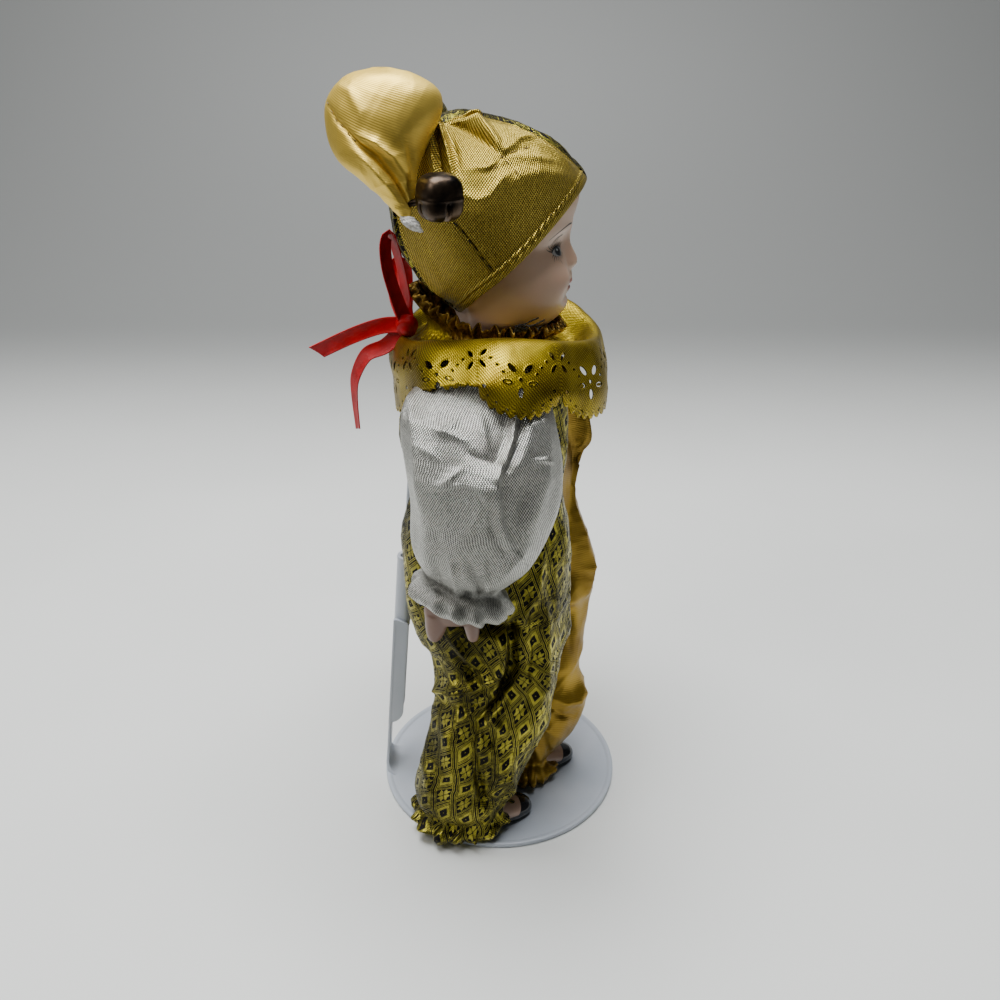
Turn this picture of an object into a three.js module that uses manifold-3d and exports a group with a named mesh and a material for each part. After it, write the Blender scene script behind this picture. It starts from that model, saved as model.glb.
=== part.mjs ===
import * as THREE from 'three';
import { mergeVertices } from 'three/addons/utils/BufferGeometryUtils.js';
import Module from 'manifold-3d';

// A dressed porcelain jester doll held at the waist by a bent sheet metal stand.
// Millimetres, +Z up. The origin is the centre of the underside of the round foot plate.
// The doll faces -Y, its right side is at -X, and the upright of the stand is behind it.

// Sizes of the stand
const PLATE_DIAMETER = 76;
const PLATE_THICKNESS = 1.2;
const RIM_WIDTH = 1.6;
const RIM_RISE = 0.7;
const UPRIGHT_WIDTH = 7;
const UPRIGHT_SHEET = 1;
const FLANGE_DEPTH = 4.6;
const FLANGE_START = 20;
const FLANGE_TOP = 60;
const FOOT_FLARE = 4;
const TUBE_DIAMETER = 5.4;
const TUBE_START = 57;
const TUBE_TOP = 81.5;
const TUBE_SLOT_WIDTH = 2.4;
const ROD_DIAMETER = 1.8;
const ROD_INSERTION = 18;

// Sizes of the doll
const FIGURE_HEIGHT = 216;
const FIT_GAP = 0.3;
const COLLAR_CLOTH = 1.3;
const SCALLOPS = 9;
const BELL_DIAMETER = 10.4;
const BELL_SHANK_DIAMETER = 1.8;
const WADDING_WIDTH = 4.4;
const RIBBON_WIDTH = 4.2;
const RIBBON_CLOTH = 0.8;
const THREAD_DIAMETER = 0.8;

// How far the cap sits turned on the head towards the doll's left, in degrees
const CAP_YAW = 16;

// The figure's own measures are carved in modules, of which it is 216 high.
const MODULE = FIGURE_HEIGHT / 216;
const SOLE_HEIGHT = PLATE_THICKNESS + FIT_GAP;

// Pose tables. Each row is a level section: height, centre x, centre y, half width, half depth.
const BROCADE_ROWS = [
  [1.3, -26.6, 11.8, 12.2, 14.4], [3.6, -26.6, 11.6, 13.8, 15.8], [7, -26.6, 10.8, 11.6, 12.8],
  [13, -25.8, 11, 14, 15.3], [26.5, -23.5, 6.3, 14.2, 16.4], [36.5, -21.5, 2.8, 14.6, 17.6],
  [45.5, -19.2, 1.3, 14.8, 18], [56.5, -15.6, 1, 15, 20], [62, -13, 2.2, 17.6, 22.8],
  [71, -12, 3.4, 18.5, 23.9], [82, -10.9, 3.7, 18.4, 24.3], [94, -10, 3.6, 17.8, 24.2],
  [102, -9.4, 3.2, 16.8, 22.2], [109, -9, 2.9, 16.4, 21],
  [116, -9, 3.7, 17, 22.4], [124, -9, 4.5, 17.6, 23.2], [135, -9, 4, 17.5, 21.6],
  [140.6, -9, 3, 15.2, 17.2], [143.4, -8, 2.5, 11, 12.5],
];
const GOLD_ROWS = [
  [1.3, -5.6, -8.2, 9, 9.6], [3.6, -5.4, -8.4, 9.8, 10.4], [7, -4.6, -9, 6.6, 7],
  [11, -3, -10, 8.8, 9.8], [17.5, 0, -12, 12, 13.5], [26.5, 3, -13, 13.5, 15.4],
  [36.5, 5.5, -11.2, 13.4, 14.9], [43, 7.4, -10, 13.4, 17.3], [56.5, 12, -7, 12.6, 22],
  [62, 11, -4.5, 15.6, 25], [71, 10, -1.8, 18, 27.7], [82.5, 10, 0.5, 18, 27.5],
  [95.5, 10, 2, 17.5, 25.8], [108, 9, 0.5, 16.8, 25.3], [115, 9, 0, 17.2, 26.6],
  [122.5, 9, 1, 17.6, 26.5], [135, 9, 1.5, 17.5, 23.5], [140.6, 9, 2, 15.2, 17.5],
  [143.4, 8, 2, 11, 12.5],
];
const SLEEVE_ROWS = [
  [83.6, 36.6, 9.4, 10.2, 12], [86.6, 36.6, 10, 11.6, 13.2], [90.6, 36.6, 10.2, 10.4, 12.2],
  [93.8, 36.4, 9.4, 8.2, 9.8], [97, 36.5, 8.2, 10.8, 12.4], [101, 37, 6.3, 13.4, 15.2],
  [107, 37, 5, 15, 17.4], [116, 36.5, 3.5, 16, 18.9], [126, 35.5, 4, 16, 19.4],
  [135.5, 33.4, 5.2, 15.2, 18.9], [142, 30.5, 5.5, 13.6, 17.5], [146.5, 27.5, 5, 11, 13.5],
  [149, 25, 4.5, 7, 8],
];
const HORN_ROWS = [
  [184, 27.5, 21.2, 0.6, 0.6], [186.6, 26.8, 22.3, 2.3, 2.3], [190, 25.4, 23.6, 4.3, 4.4],
  [193.4, 23.6, 25.7, 6.4, 6.8], [196.4, 21, 27.4, 8.9, 9.3], [200, 17.4, 27.8, 11.9, 11.4],
  [204.6, 15.6, 27, 12.8, 13.2], [208.6, 15.5, 26.4, 11.7, 13.3], [212, 16.2, 25.9, 9.2, 11.5],
  [214.6, 16.4, 26.3, 6.2, 7.8], [216, 16.6, 26.7, 1.6, 2],
];
// The hand hangs from the wrist as a palm that parts into the fingers and the thumb.
const PALM_ROWS = [
  [79.5, 36, 12.3, 2.2, 5.6], [83, 36, 12.3, 3.6, 8], [88, 36.2, 11.2, 4.2, 7.4],
  [94, 36.4, 9.4, 4.4, 5.2], [101, 36.6, 7.8, 4.4, 4.8],
];
const FINGER_ROWS = [
  [73.4, 35.6, 17.6, 0.8, 0.8], [74.4, 35.6, 17.6, 1.9, 1.8], [77.5, 35.8, 17.2, 2.7, 2.8],
  [83, 36, 16.4, 3.2, 3.7],
];
const THUMB_ROWS = [
  [73, 35.2, 7.2, 0.7, 0.7], [74, 35.3, 7.2, 1.6, 1.5], [77.5, 35.6, 7.4, 2.3, 2.1],
  [83, 36, 7.9, 2.8, 2.9],
];
// Rows of the head and cap: height, half width, front y and back y from the neck's axis.
const HEAD_ROWS = [
  [139, 9.5, -8, 9.4], [149, 9.2, -8, 9], [151.4, 10, -11, 9], [153.2, 12, -15.8, 9.2],
  [155.4, 14, -17.8, 9.8], [158.6, 15.6, -19, 11.4], [162, 16.8, -19.3, 14.4],
  [165.4, 17.6, -19.5, 17.5], [168.6, 18.1, -19.4, 19.5], [171.6, 18.5, -19.2, 20.8],
  [175, 18.7, -18.9, 21.8], [180, 18.8, -20.9, 22.2], [187, 17.8, -22.2, 21.4],
  [193, 14.6, -17.8, 18], [198, 9, -10, 12], [200.6, 1, -1.2, 1.4],
];
const CAP_ROWS = [
  [157.5, 14.5, -17, 11], [160, 17.2, -20, 13.8], [163.4, 18.9, -22, 17.7],
  [168, 19.8, -23.2, 21.2], [175, 20.4, -23.9, 24.6],
  [184, 20.4, -24.8, 26.3], [188.8, 19.9, -24.4, 26.3], [193, 18.6, -21.4, 25.2],
  [197.2, 16.1, -16.4, 22.9], [200.8, 12.7, -10, 19.6], [203.6, 8.8, -2.8, 15.8],
  [206, 1.2, 7, 9],
];
// Rows of a foot along its length from heel to toe: distance, half width, height of the top.
const FOOT_ROWS = [
  [0, 1.4, 4], [1.2, 3.4, 7], [4.5, 4.1, 9.6], [9, 4.4, 9.6], [13.5, 4.8, 7.2],
  [18, 5, 5.6], [21.5, 4.2, 4.6], [23.6, 2.4, 3.4], [24.2, 0.8, 2.4],
];
const ANKLE_ROWS = [
  [4, 3.9, 4.6], [9, 3.9, 4.6], [14, 3.6, 3.9], [24, 4, 4.2],
];
// Rows of the collar from the frill's edge over the fold to the hem. The radii are taken
// to the side, the front and the back, and then the heights in the same order.
const COLLAR_ROWS = [
  [15.5, 18, 22.6, 154.6, 152, 162.6], [12.8, 13.6, 18.6, 150.6, 148, 153],
  [20, 20, 22.6, 149.6, 145.6, 148], [28.4, 26.8, 26.2, 156.6, 149.8, 149.8],
  [36, 29.4, 29.4, 153.8, 143.6, 143],
  [42, 30.4, 30.6, 148.6, 138.2, 136.2],
];
const COLLAR_CENTRE_Y = 0.4;

// How far the collar's scallops hang below the notches between them and stand out at the sides
const SCALLOP_DROP = 5.8;
const SCALLOP_FLARE = 3.4;
const NOTCH_DROP = 0.6;
// The scallop whose middle lies at this angle from +X is folded under and hangs this share.
const FOLDED_AZIMUTH = 160;
const FOLDED_SHARE = 0.12;
const FIRST_SCALLOP_AZIMUTH = 190.2;
// Behind the right shoulder the hem is hitched up: the angle, its reach and the lift.
const HITCH_AZIMUTH = 142;
const HITCH_REACH = 42;
const HITCH_LIFT = 2.6;

// Heights and places in modules. The torso's two halves meet in a seam that is drawn in.
const WAIST_HEIGHT = 107.5;
const WAIST_BACK = 25.6;
const CLIP_CENTRE = 4;
const CLIP_HALF_WIDTH = 24.2;
const CROTCH_HEIGHT = 57.5;
const SEAM_START = 14;
const SEAM_END = 130;
const SHOULDER_TOP = 144;
const SEAM_FRONT = -17.5;
const SEAM_BACK = 23.5;
const SEAM_REACH = 7;
const NECK_Y = 2;
const LEFT_HORN_DROP = 6.5;
const BELL_PLACE = [30, 13.4, 190];
const BELL_STITCH = [26.4, 22.2, 187.6];
const WADDING_PLACE = [-28, 20.2, 183.6];
const HEEL_RIGHT = [-33.3, 11.2];
const HEEL_LEFT = [-8.6, -3.4];
const ANKLE_SETBACK = 6;

// The cap's opening is a plane that rises to the back of the head at 45 degrees, where y from
// the neck's axis and height add up to this many modules.
const HEM_SUM = 166.2;
// The cap sits askew: its middle seam is moved to the right and turned on the head.
const CAP_SEAM_SHIFT = -6;

// Angles in degrees
const CAP_SEAM_TURN = -3;
const FOOT_HEADING = 31;
const CLIP_REACH = 205;

// Depth of the soft folds of cloth as a share of the radius
const SUIT_FOLDS = 0.016;
const FRILL_FOLDS = 0.046;
const SLEEVE_FOLDS = 0.02;

// Relief of the face in modules: x, height, half width, half height, how far it stands out.
const FACE_MOUNDS = [
  [0, 163.5, 3.8, 3.8, 1.8], [0, 156.6, 5, 3, 1.1],
  [-9.2, 165.6, 4.4, 5, 2.4], [9.2, 165.6, 4.4, 5, 2.4],
  [-8.4, 173, 4, 3.6, -0.7], [8.4, 173, 4, 3.6, -0.7],
];
// The nose: its tip's height over the middle of the lips, which are the first row above, then
// its half width, reach of the bridge, reach below and projection.
const NOSE = { overLips: 5.3, halfWidth: 2.6, bridge: 5, below: 2.8, stands: 2.7 };

// Resolution of the meshes
const SUIT_SIDES = 16;
const SLEEVE_SIDES = 14;
const HORN_SIDES = 14;
const HAND_SIDES = 8;
const FOOT_SIDES = 10;
const HEAD_SIDES = 22;
const CAP_SIDES = 20;
const POINTS_PER_SCALLOP = 5;
const CLIP_BENDS = 12;
const PLATE_SEGMENTS = 32;

const PLATE_RADIUS = PLATE_DIAMETER / 2;
const TUBE_RADIUS = TUBE_DIAMETER / 2;
const ROD_RADIUS = ROD_DIAMETER / 2;
const WAIST_Z = SOLE_HEIGHT + WAIST_HEIGHT * MODULE;
const WAIST_BACK_Y = WAIST_BACK * MODULE;
const REACH = FIGURE_HEIGHT / 2;

const wasm = await Module();
wasm.setup();

// Turns a closed geometry into a solid that can be joined and cut.
function solidOf(geometry) {
  const bare = geometry.index ? geometry.toNonIndexed() : geometry.clone();
  bare.deleteAttribute('normal');
  bare.deleteAttribute('uv');
  const merged = mergeVertices(bare, 1e-4);
  return new wasm.Manifold(new wasm.Mesh({
    numProp: 3,
    vertProperties: new Float32Array(merged.attributes.position.array),
    triVerts: new Uint32Array(merged.index.array),
  }));
}

// Gives a solid back as a flat shaded geometry.
function geometryOf(solid) {
  const mesh = solid.getMesh();
  const indexed = new THREE.BufferGeometry();
  indexed.setAttribute('position', new THREE.BufferAttribute(Float32Array.from(mesh.vertProperties), 3));
  indexed.setIndex(Array.from(mesh.triVerts));
  const flat = indexed.toNonIndexed();
  flat.computeVertexNormals();
  return flat;
}

// Keeps only the largest body where a cut has left slivers.
function largestBody(solid) {
  const bodies = solid.decompose();
  return bodies.reduce((best, body) => (body.volume() > best.volume() ? body : best));
}

// Skins a stack of rings with as many points each, closed by a fan at both ends.
function skin(rings) {
  const sides = rings[0].length;
  const points = rings.flat();
  const faces = [];
  const centre = (ring) => ring.reduce((sum, p) => sum.add(p), new THREE.Vector3()).divideScalar(sides);
  for (let i = 0; i + 1 < rings.length; i += 1) {
    for (let j = 0; j < sides; j += 1) {
      const a = i * sides + j;
      const b = i * sides + ((j + 1) % sides);
      faces.push(a, b, b + sides, a, b + sides, a + sides);
    }
  }
  const last = (rings.length - 1) * sides;
  points.push(centre(rings[0]), centre(rings[rings.length - 1]));
  for (let j = 0; j < sides; j += 1) {
    const next = (j + 1) % sides;
    faces.push(points.length - 2, next, j, points.length - 1, last + j, last + next);
  }
  return meshed(points, faces);
}

// Skins rings that follow one another round a closed loop.
function skinLoop(rings) {
  const sides = rings[0].length;
  const faces = [];
  for (let i = 0; i < rings.length; i += 1) {
    const next = (i + 1) % rings.length;
    for (let j = 0; j < sides; j += 1) {
      const k = (j + 1) % sides;
      faces.push(i * sides + j, i * sides + k, next * sides + k);
      faces.push(i * sides + j, next * sides + k, next * sides + j);
    }
  }
  return meshed(rings.flat(), faces);
}

function meshed(points, faces) {
  const geometry = new THREE.BufferGeometry();
  geometry.setFromPoints(points);
  geometry.setIndex(faces);
  return geometry;
}

function rowsOf(rows) {
  return rows.map((row) => row.map((value) => value * MODULE));
}

// A standing free form from level oval sections. grow makes it larger all round by a clearance,
// and shape may push a point of the outline, given its angle from +X and its height.
function column(rows, { grow = 0, sides = SUIT_SIDES, shape = (point) => point } = {}) {
  const levels = rowsOf(rows);
  const rings = levels.map(([z, cx, cy, a, b], i) => {
    const lift = i === 0 ? -grow : (i === levels.length - 1 ? grow : 0);
    return Array.from({ length: sides }, (_, j) => {
      const angle = (j / sides) * 2 * Math.PI;
      const x = cx + (a + grow) * Math.cos(angle);
      const y = cy + (b + grow) * Math.sin(angle);
      return shape(new THREE.Vector3(x, y, SOLE_HEIGHT + z + lift), angle, z, cx, cy);
    });
  });
  return solidOf(skin(rings));
}

function mirrorRows(rows) {
  return rows.map(([z, cx, cy, a, b]) => [z, -cx, cy, a, b]);
}

function dropRows(rows, drop) {
  return rows.map(([z, ...rest]) => [z - drop, ...rest]);
}

function blockBetween(low, high) {
  const size = high.map((v, i) => v - low[i]);
  const block = new THREE.BoxGeometry(...size);
  block.translate(...high.map((v, i) => (v + low[i]) / 2));
  return solidOf(block);
}

// Foot plate and upright

// How far forward the upright has come at a height, so that its rod meets the waist
const LEAN = (PLATE_RADIUS - TUBE_RADIUS - WAIST_BACK_Y) / WAIST_Z;

function leaned(geometry) {
  const shear = new THREE.Matrix4().makeShear(0, 0, 0, 0, 0, -LEAN);
  return geometry.applyMatrix4(shear);
}

function plateSolid() {
  const rimTop = PLATE_THICKNESS + RIM_RISE;
  const profile = [
    [0, 0], [PLATE_RADIUS, 0], [PLATE_RADIUS, PLATE_THICKNESS],
    [PLATE_RADIUS - RIM_WIDTH / 3, rimTop], [PLATE_RADIUS - RIM_WIDTH, PLATE_THICKNESS],
    [0, PLATE_THICKNESS],
  ].map(([r, z]) => new THREE.Vector2(r, z));
  const plate = new THREE.LatheGeometry(profile, PLATE_SEGMENTS);
  plate.rotateX(Math.PI / 2);
  return solidOf(plate);
}

// Extrudes a side profile drawn as y and z across the upright, from x low to x high.
function acrossUpright(shape, low, high) {
  const plate = new THREE.ExtrudeGeometry(shape, {
    depth: high - low, bevelEnabled: false, curveSegments: 4,
  });
  plate.applyMatrix4(new THREE.Matrix4().makeBasis(
    new THREE.Vector3(0, 1, 0), new THREE.Vector3(0, 0, 1), new THREE.Vector3(1, 0, 0),
  ));
  plate.translate(low, 0, 0);
  return solidOf(leaned(plate));
}

// The bent tongue seen from the side: a sheet that curves up out of the plate.
function webShape() {
  const rear = PLATE_RADIUS;
  const front = rear - UPRIGHT_SHEET;
  const under = PLATE_THICKNESS / 4;
  const shape = new THREE.Shape();
  shape.moveTo(rear - FOOT_FLARE - UPRIGHT_SHEET, under);
  shape.lineTo(rear - UPRIGHT_SHEET, under);
  shape.quadraticCurveTo(rear, under, rear, FOOT_FLARE / 2);
  shape.lineTo(rear, TUBE_START + UPRIGHT_SHEET);
  shape.lineTo(front, TUBE_START + UPRIGHT_SHEET);
  shape.lineTo(front, PLATE_THICKNESS + FOOT_FLARE);
  shape.quadraticCurveTo(front, PLATE_THICKNESS, rear - FOOT_FLARE - UPRIGHT_SHEET, PLATE_THICKNESS);
  return shape;
}

// The tongue seen from behind: wide where it leaves the plate.
function tongueOutline() {
  const half = UPRIGHT_WIDTH / 2;
  const wide = half + FOOT_FLARE;
  const shape = new THREE.Shape();
  shape.moveTo(-wide, 0);
  shape.lineTo(wide, 0);
  shape.quadraticCurveTo(half, FOOT_FLARE / 2, half, FOOT_FLARE * 2.5);
  shape.lineTo(half, TUBE_START + UPRIGHT_SHEET);
  shape.lineTo(-half, TUBE_START + UPRIGHT_SHEET);
  shape.lineTo(-half, FOOT_FLARE * 2.5);
  shape.quadraticCurveTo(-half, FOOT_FLARE / 2, -wide, 0);
  const outline = new THREE.ExtrudeGeometry(shape, {
    depth: PLATE_RADIUS, bevelEnabled: false, curveSegments: 5,
  });
  outline.rotateX(Math.PI / 2);
  outline.translate(0, PLATE_RADIUS * 1.2, 0);
  return solidOf(outline);
}

// A side flange, rounded off at its lower end and tapering into the tube.
function flangeShape() {
  const rear = PLATE_RADIUS;
  const front = rear - FLANGE_DEPTH;
  const shape = new THREE.Shape();
  shape.moveTo(rear, FLANGE_START);
  shape.quadraticCurveTo(front, FLANGE_START, front, FLANGE_START + FLANGE_DEPTH);
  shape.lineTo(front, FLANGE_TOP - UPRIGHT_SHEET);
  shape.lineTo(rear - UPRIGHT_SHEET, FLANGE_TOP);
  shape.lineTo(rear, FLANGE_TOP);
  return shape;
}

// The upper stretch is rolled into a tube with a slot along its front.
function tubeSolid() {
  const bore = ROD_RADIUS + FIT_GAP;
  const slot = TUBE_SLOT_WIDTH / TUBE_DIAMETER;
  const section = new THREE.Shape();
  section.absarc(0, 0, TUBE_RADIUS, -Math.PI / 2 + slot, 1.5 * Math.PI - slot, false);
  section.absarc(0, 0, bore, 1.5 * Math.PI - slot, -Math.PI / 2 + slot, true);
  const tube = new THREE.ExtrudeGeometry(section, {
    depth: TUBE_TOP - TUBE_START, bevelEnabled: false, curveSegments: 8,
  });
  tube.translate(0, PLATE_RADIUS - TUBE_RADIUS, TUBE_START);
  return solidOf(leaned(tube));
}

function standBase() {
  const half = UPRIGHT_WIDTH / 2;
  const web = acrossUpright(webShape(), -UPRIGHT_WIDTH, UPRIGHT_WIDTH).intersect(tongueOutline());
  const near = acrossUpright(flangeShape(), -half, -half + UPRIGHT_SHEET);
  const far = acrossUpright(flangeShape(), half - UPRIGHT_SHEET, half);
  return plateSolid().add(web).add(near).add(far).add(tubeSolid());
}

// The rod and its waist clip are one bent wire. thicker makes it fatter for a clearance.
function standRod(thicker = 0) {
  const radius = ROD_RADIUS + thicker;
  const section = new THREE.Shape();
  section.absarc(0, 0, radius, 0, 2 * Math.PI, false);
  const axisY = (z) => PLATE_RADIUS - TUBE_RADIUS - LEAN * z;
  const low = TUBE_TOP - ROD_INSERTION;
  const straight = new THREE.LineCurve3(
    new THREE.Vector3(0, axisY(low), low), new THREE.Vector3(0, axisY(WAIST_Z), WAIST_Z),
  );
  const stem = new THREE.ExtrudeGeometry(section, { steps: 1, extrudePath: straight, curveSegments: 3 });
  const centreY = CLIP_CENTRE * MODULE;
  const across = CLIP_HALF_WIDTH * MODULE;
  const along = axisY(WAIST_Z) - centreY;
  const reach = THREE.MathUtils.degToRad(CLIP_REACH) + (2 * thicker) / along;
  const arc = Array.from({ length: CLIP_BENDS + 1 }, (_, i) => {
    const angle = Math.PI / 2 + reach * (i / CLIP_BENDS - 0.5);
    return new THREE.Vector3(across * Math.cos(angle), centreY + along * Math.sin(angle), WAIST_Z);
  });
  const clip = new THREE.ExtrudeGeometry(section, {
    steps: CLIP_BENDS, extrudePath: new THREE.CatmullRomCurve3(arc), curveSegments: 3,
  });
  return solidOf(stem).add(solidOf(clip));
}

// Jumpsuit

// Draws the torso's outline in to the seam that joins its two halves.
function seamed(point, angle, z) {
  const level = z / MODULE;
  const torso = THREE.MathUtils.smoothstep(level, CROTCH_HEIGHT, CROTCH_HEIGHT + SEAM_START);
  const top = 1 - THREE.MathUtils.smoothstep(level, SEAM_END, SHOULDER_TOP);
  const near = THREE.MathUtils.clamp(1 - Math.abs(point.x) / (SEAM_REACH * MODULE), 0, 1);
  const seam = (Math.sin(angle) > 0 ? SEAM_BACK : SEAM_FRONT) * MODULE;
  const pull = Math.sqrt(near) * torso * top;
  point.y += (seam - point.y) * pull;
  return point;
}

// Soft vertical folds, as a share of the radius.
function folded(point, angle, z, cx, cy, depth) {
  const wave = Math.cos(5 * angle + z / (9 * MODULE)) + 0.7 * Math.cos(9 * angle - z / (14 * MODULE));
  point.x += (point.x - cx) * depth * wave;
  point.y += (point.y - cy) * depth * wave;
  return point;
}

// One half of the jumpsuit with its leg. The frill below the ankle elastic is crimped more.
function halfSuit(rows, grow) {
  const shape = (point, angle, z, cx, cy) => {
    const frill = 1 - THREE.MathUtils.smoothstep(z, 4 * MODULE, 8 * MODULE);
    folded(point, angle, z, cx, cy, THREE.MathUtils.lerp(SUIT_FOLDS, FRILL_FOLDS, frill));
    return seamed(point, angle, z);
  };
  return column(rows, { grow, shape });
}

// What lies on the other side of the middle seam, above the crotch.
function acrossSeam(side, clearance) {
  const edge = side * clearance;
  const low = Math.min(-side * REACH, edge);
  const high = Math.max(-side * REACH, edge);
  const bottom = SOLE_HEIGHT + CROTCH_HEIGHT * MODULE - clearance;
  return blockBetween([low, -REACH, bottom], [high, REACH, 3 * REACH]);
}

// Feet, hands and head

// Points round an oval section, as the cosine and sine of each one's angle
function roundTurn(sides) {
  return Array.from({ length: sides }, (_, j) => {
    const angle = (j / sides) * 2 * Math.PI;
    return [Math.cos(angle), Math.sin(angle)];
  });
}

// A foot along +Y from its heel, with the lower leg that stands on it.
function footSolid(heel, grow = 0) {
  const turn = roundTurn(FOOT_SIDES);
  const shoe = rowsOf(FOOT_ROWS).map(([along, half, top]) => turn.map(([across, up]) => {
    const round = Math.sign(up) * Math.abs(up) ** 0.8;
    const height = (top + grow) * (0.45 + 0.55 * round);
    return new THREE.Vector3(-(half + grow) * across, along, Math.max(height, -grow));
  }));
  shoe[0].forEach((p) => p.setY(p.y - grow));
  shoe[shoe.length - 1].forEach((p) => p.setY(p.y + grow));
  const leg = rowsOf(ANKLE_ROWS).map(([z, a, b], i, all) => turn.map(([across, back]) => {
    const lift = i === all.length - 1 ? grow : 0;
    const y = ANKLE_SETBACK * MODULE + (b + grow) * back;
    return new THREE.Vector3((a + grow) * across, y, z + lift);
  }));
  const place = new THREE.Matrix4().makeTranslation(heel[0] * MODULE, heel[1] * MODULE, SOLE_HEIGHT);
  place.multiply(new THREE.Matrix4().makeRotationZ(THREE.MathUtils.degToRad(180 + FOOT_HEADING)));
  return solidOf(skin(shoe).applyMatrix4(place)).add(solidOf(skin(leg).applyMatrix4(place)));
}

function handSolid(side, grow = 0) {
  const turned = (rows) => (side < 0 ? mirrorRows(rows) : rows);
  const build = (rows) => column(turned(rows), { grow, sides: HAND_SIDES });
  return build(PALM_ROWS).add(build(FINGER_ROWS)).add(build(THUMB_ROWS));
}

// How far the face stands forward of the oval section at x and height z, in modules
function faceRelief(x, z) {
  const mound = (cx, cz, wide, high) => Math.exp(-(((x - cx) / wide) ** 2) - ((z - cz) / high) ** 2);
  const flesh = FACE_MOUNDS.reduce((sum, [cx, cz, wide, high, stands]) => (
    sum + stands * mound(cx, cz, wide, high)), 0);
  const tip = FACE_MOUNDS[0][1] + NOSE.overLips;
  const reach = z > tip ? NOSE.bridge : NOSE.below;
  return flesh + NOSE.stands * mound(0, tip, NOSE.halfWidth, reach);
}

// A section of the head or cap, with its points closer together at the face.
function headRing([z, a, front, back], sides, grow, face) {
  const centre = (front + back) / 2;
  const half = (back - front) / 2;
  return Array.from({ length: sides }, (_, j) => {
    const turn = (2 * j) / sides - 1;
    const angle = Math.PI * (0.5 * turn + 0.5 * turn * Math.abs(turn));
    const x = (a + grow) * Math.sin(angle);
    const level = -Math.cos(angle);
    const relief = face && level < 0 ? faceRelief(x / MODULE, z / MODULE) * MODULE : 0;
    return new THREE.Vector3(x, centre + (half + grow) * level - relief, z);
  });
}

// Stands a stack of head or cap sections on the neck.
function headForm(rows, { sides, grow = 0, face = false, yaw = 0 }) {
  const levels = rowsOf(rows);
  const rings = levels.map((row, i) => {
    const lift = i === 0 ? -grow : (i === levels.length - 1 ? grow : 0);
    return headRing(row, sides, grow, face).map((p) => p.setZ(p.z + lift + SOLE_HEIGHT));
  });
  return solidOf(setOnNeck(skin(rings), yaw));
}

function setOnNeck(geometry, yaw) {
  geometry.rotateZ(THREE.MathUtils.degToRad(yaw));
  geometry.translate(0, NECK_Y * MODULE, 0);
  return geometry;
}

function headSolid(grow = 0) {
  return headForm(HEAD_ROWS, { sides: HEAD_SIDES, grow, face: true });
}

// Cap, horns and bells

// The cap's cloth wraps the skull, open in front and below along one slanting plane.
function capSolid(grow = 0) {
  const opening = new THREE.BoxGeometry(2 * REACH, 2 * REACH, 2 * REACH);
  opening.translate(0, 0, -REACH);
  opening.rotateX(-Math.PI / 4);
  opening.translate(0, 0, SOLE_HEIGHT + HEM_SUM * MODULE - grow);
  const cloth = headForm(CAP_ROWS, { sides: CAP_SIDES, grow, yaw: CAP_YAW });
  return cloth.subtract(solidOf(setOnNeck(opening, CAP_YAW)));
}

function capHalf(side) {
  const other = new THREE.BoxGeometry(REACH, 2 * REACH, 5 * REACH);
  other.translate(-side * (REACH / 2 - FIT_GAP / 2) + CAP_SEAM_SHIFT * MODULE, 0, 0);
  other.rotateZ(THREE.MathUtils.degToRad(CAP_SEAM_TURN));
  const cut = capSolid().subtract(solidOf(setOnNeck(other, CAP_YAW)));
  return largestBody(cut.subtract(headSolid(FIT_GAP)));
}

function hornSolid(side, grow = 0) {
  const rows = side < 0 ? mirrorRows(HORN_ROWS) : dropRows(HORN_ROWS, LEFT_HORN_DROP);
  return column(rows, { sides: HORN_SIDES, grow });
}

// White wadding that has worked out of the right horn's tip
function waddingSolid() {
  const tuft = new THREE.SphereGeometry(WADDING_WIDTH / 2, 6, 4);
  const [x, y, z] = WADDING_PLACE;
  tuft.scale(1, 1, 0.8);
  tuft.translate(x * MODULE, y * MODULE, SOLE_HEIGHT + z * MODULE);
  return solidOf(tuft).subtract(hornSolid(-1, FIT_GAP));
}

// A round bell with the shank by which it is stitched to the tip of its horn.
function bellSolid(side, grow = 0) {
  const drop = side < 0 ? 0 : LEFT_HORN_DROP;
  const placed = ([x, y, z]) => new THREE.Vector3(side * x, y, z - drop).multiplyScalar(MODULE);
  const centre = placed(BELL_PLACE);
  const reach = placed(BELL_STITCH).sub(centre);
  const shankEnd = centre.clone().add(reach.setLength(reach.length() + grow));
  const shankAxis = new THREE.LineCurve3(centre, shankEnd);
  const section = new THREE.Shape();
  section.absarc(0, 0, BELL_SHANK_DIAMETER / 2 + grow, 0, 2 * Math.PI, false);
  const shank = new THREE.ExtrudeGeometry(section, { steps: 1, extrudePath: shankAxis, curveSegments: 3 });
  const bell = new THREE.SphereGeometry(BELL_DIAMETER / 2 + grow, 12, 8);
  bell.rotateX(Math.PI / 2);
  bell.translate(centre.x, centre.y, centre.z);
  return solidOf(bell).add(solidOf(shank)).translate(0, 0, SOLE_HEIGHT);
}

// Collar

// Height of the scalloped hem under the notches, from 0 at a notch to 1 at a scallop's middle.
function scallopAt(azimuth) {
  const pitch = 360 / SCALLOPS;
  const turn = (azimuth - FIRST_SCALLOP_AZIMUTH) / pitch;
  const off = Math.abs(turn - Math.round(turn)) * 2;
  const middle = FIRST_SCALLOP_AZIMUTH + Math.round(turn) * pitch;
  const folded = Math.abs(((middle - FOLDED_AZIMUTH + 540) % 360) - 180) < pitch / 2;
  return Math.sqrt(Math.max(1 - off ** 2.4, 0)) * (folded ? FOLDED_SHARE : 1);
}

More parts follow.
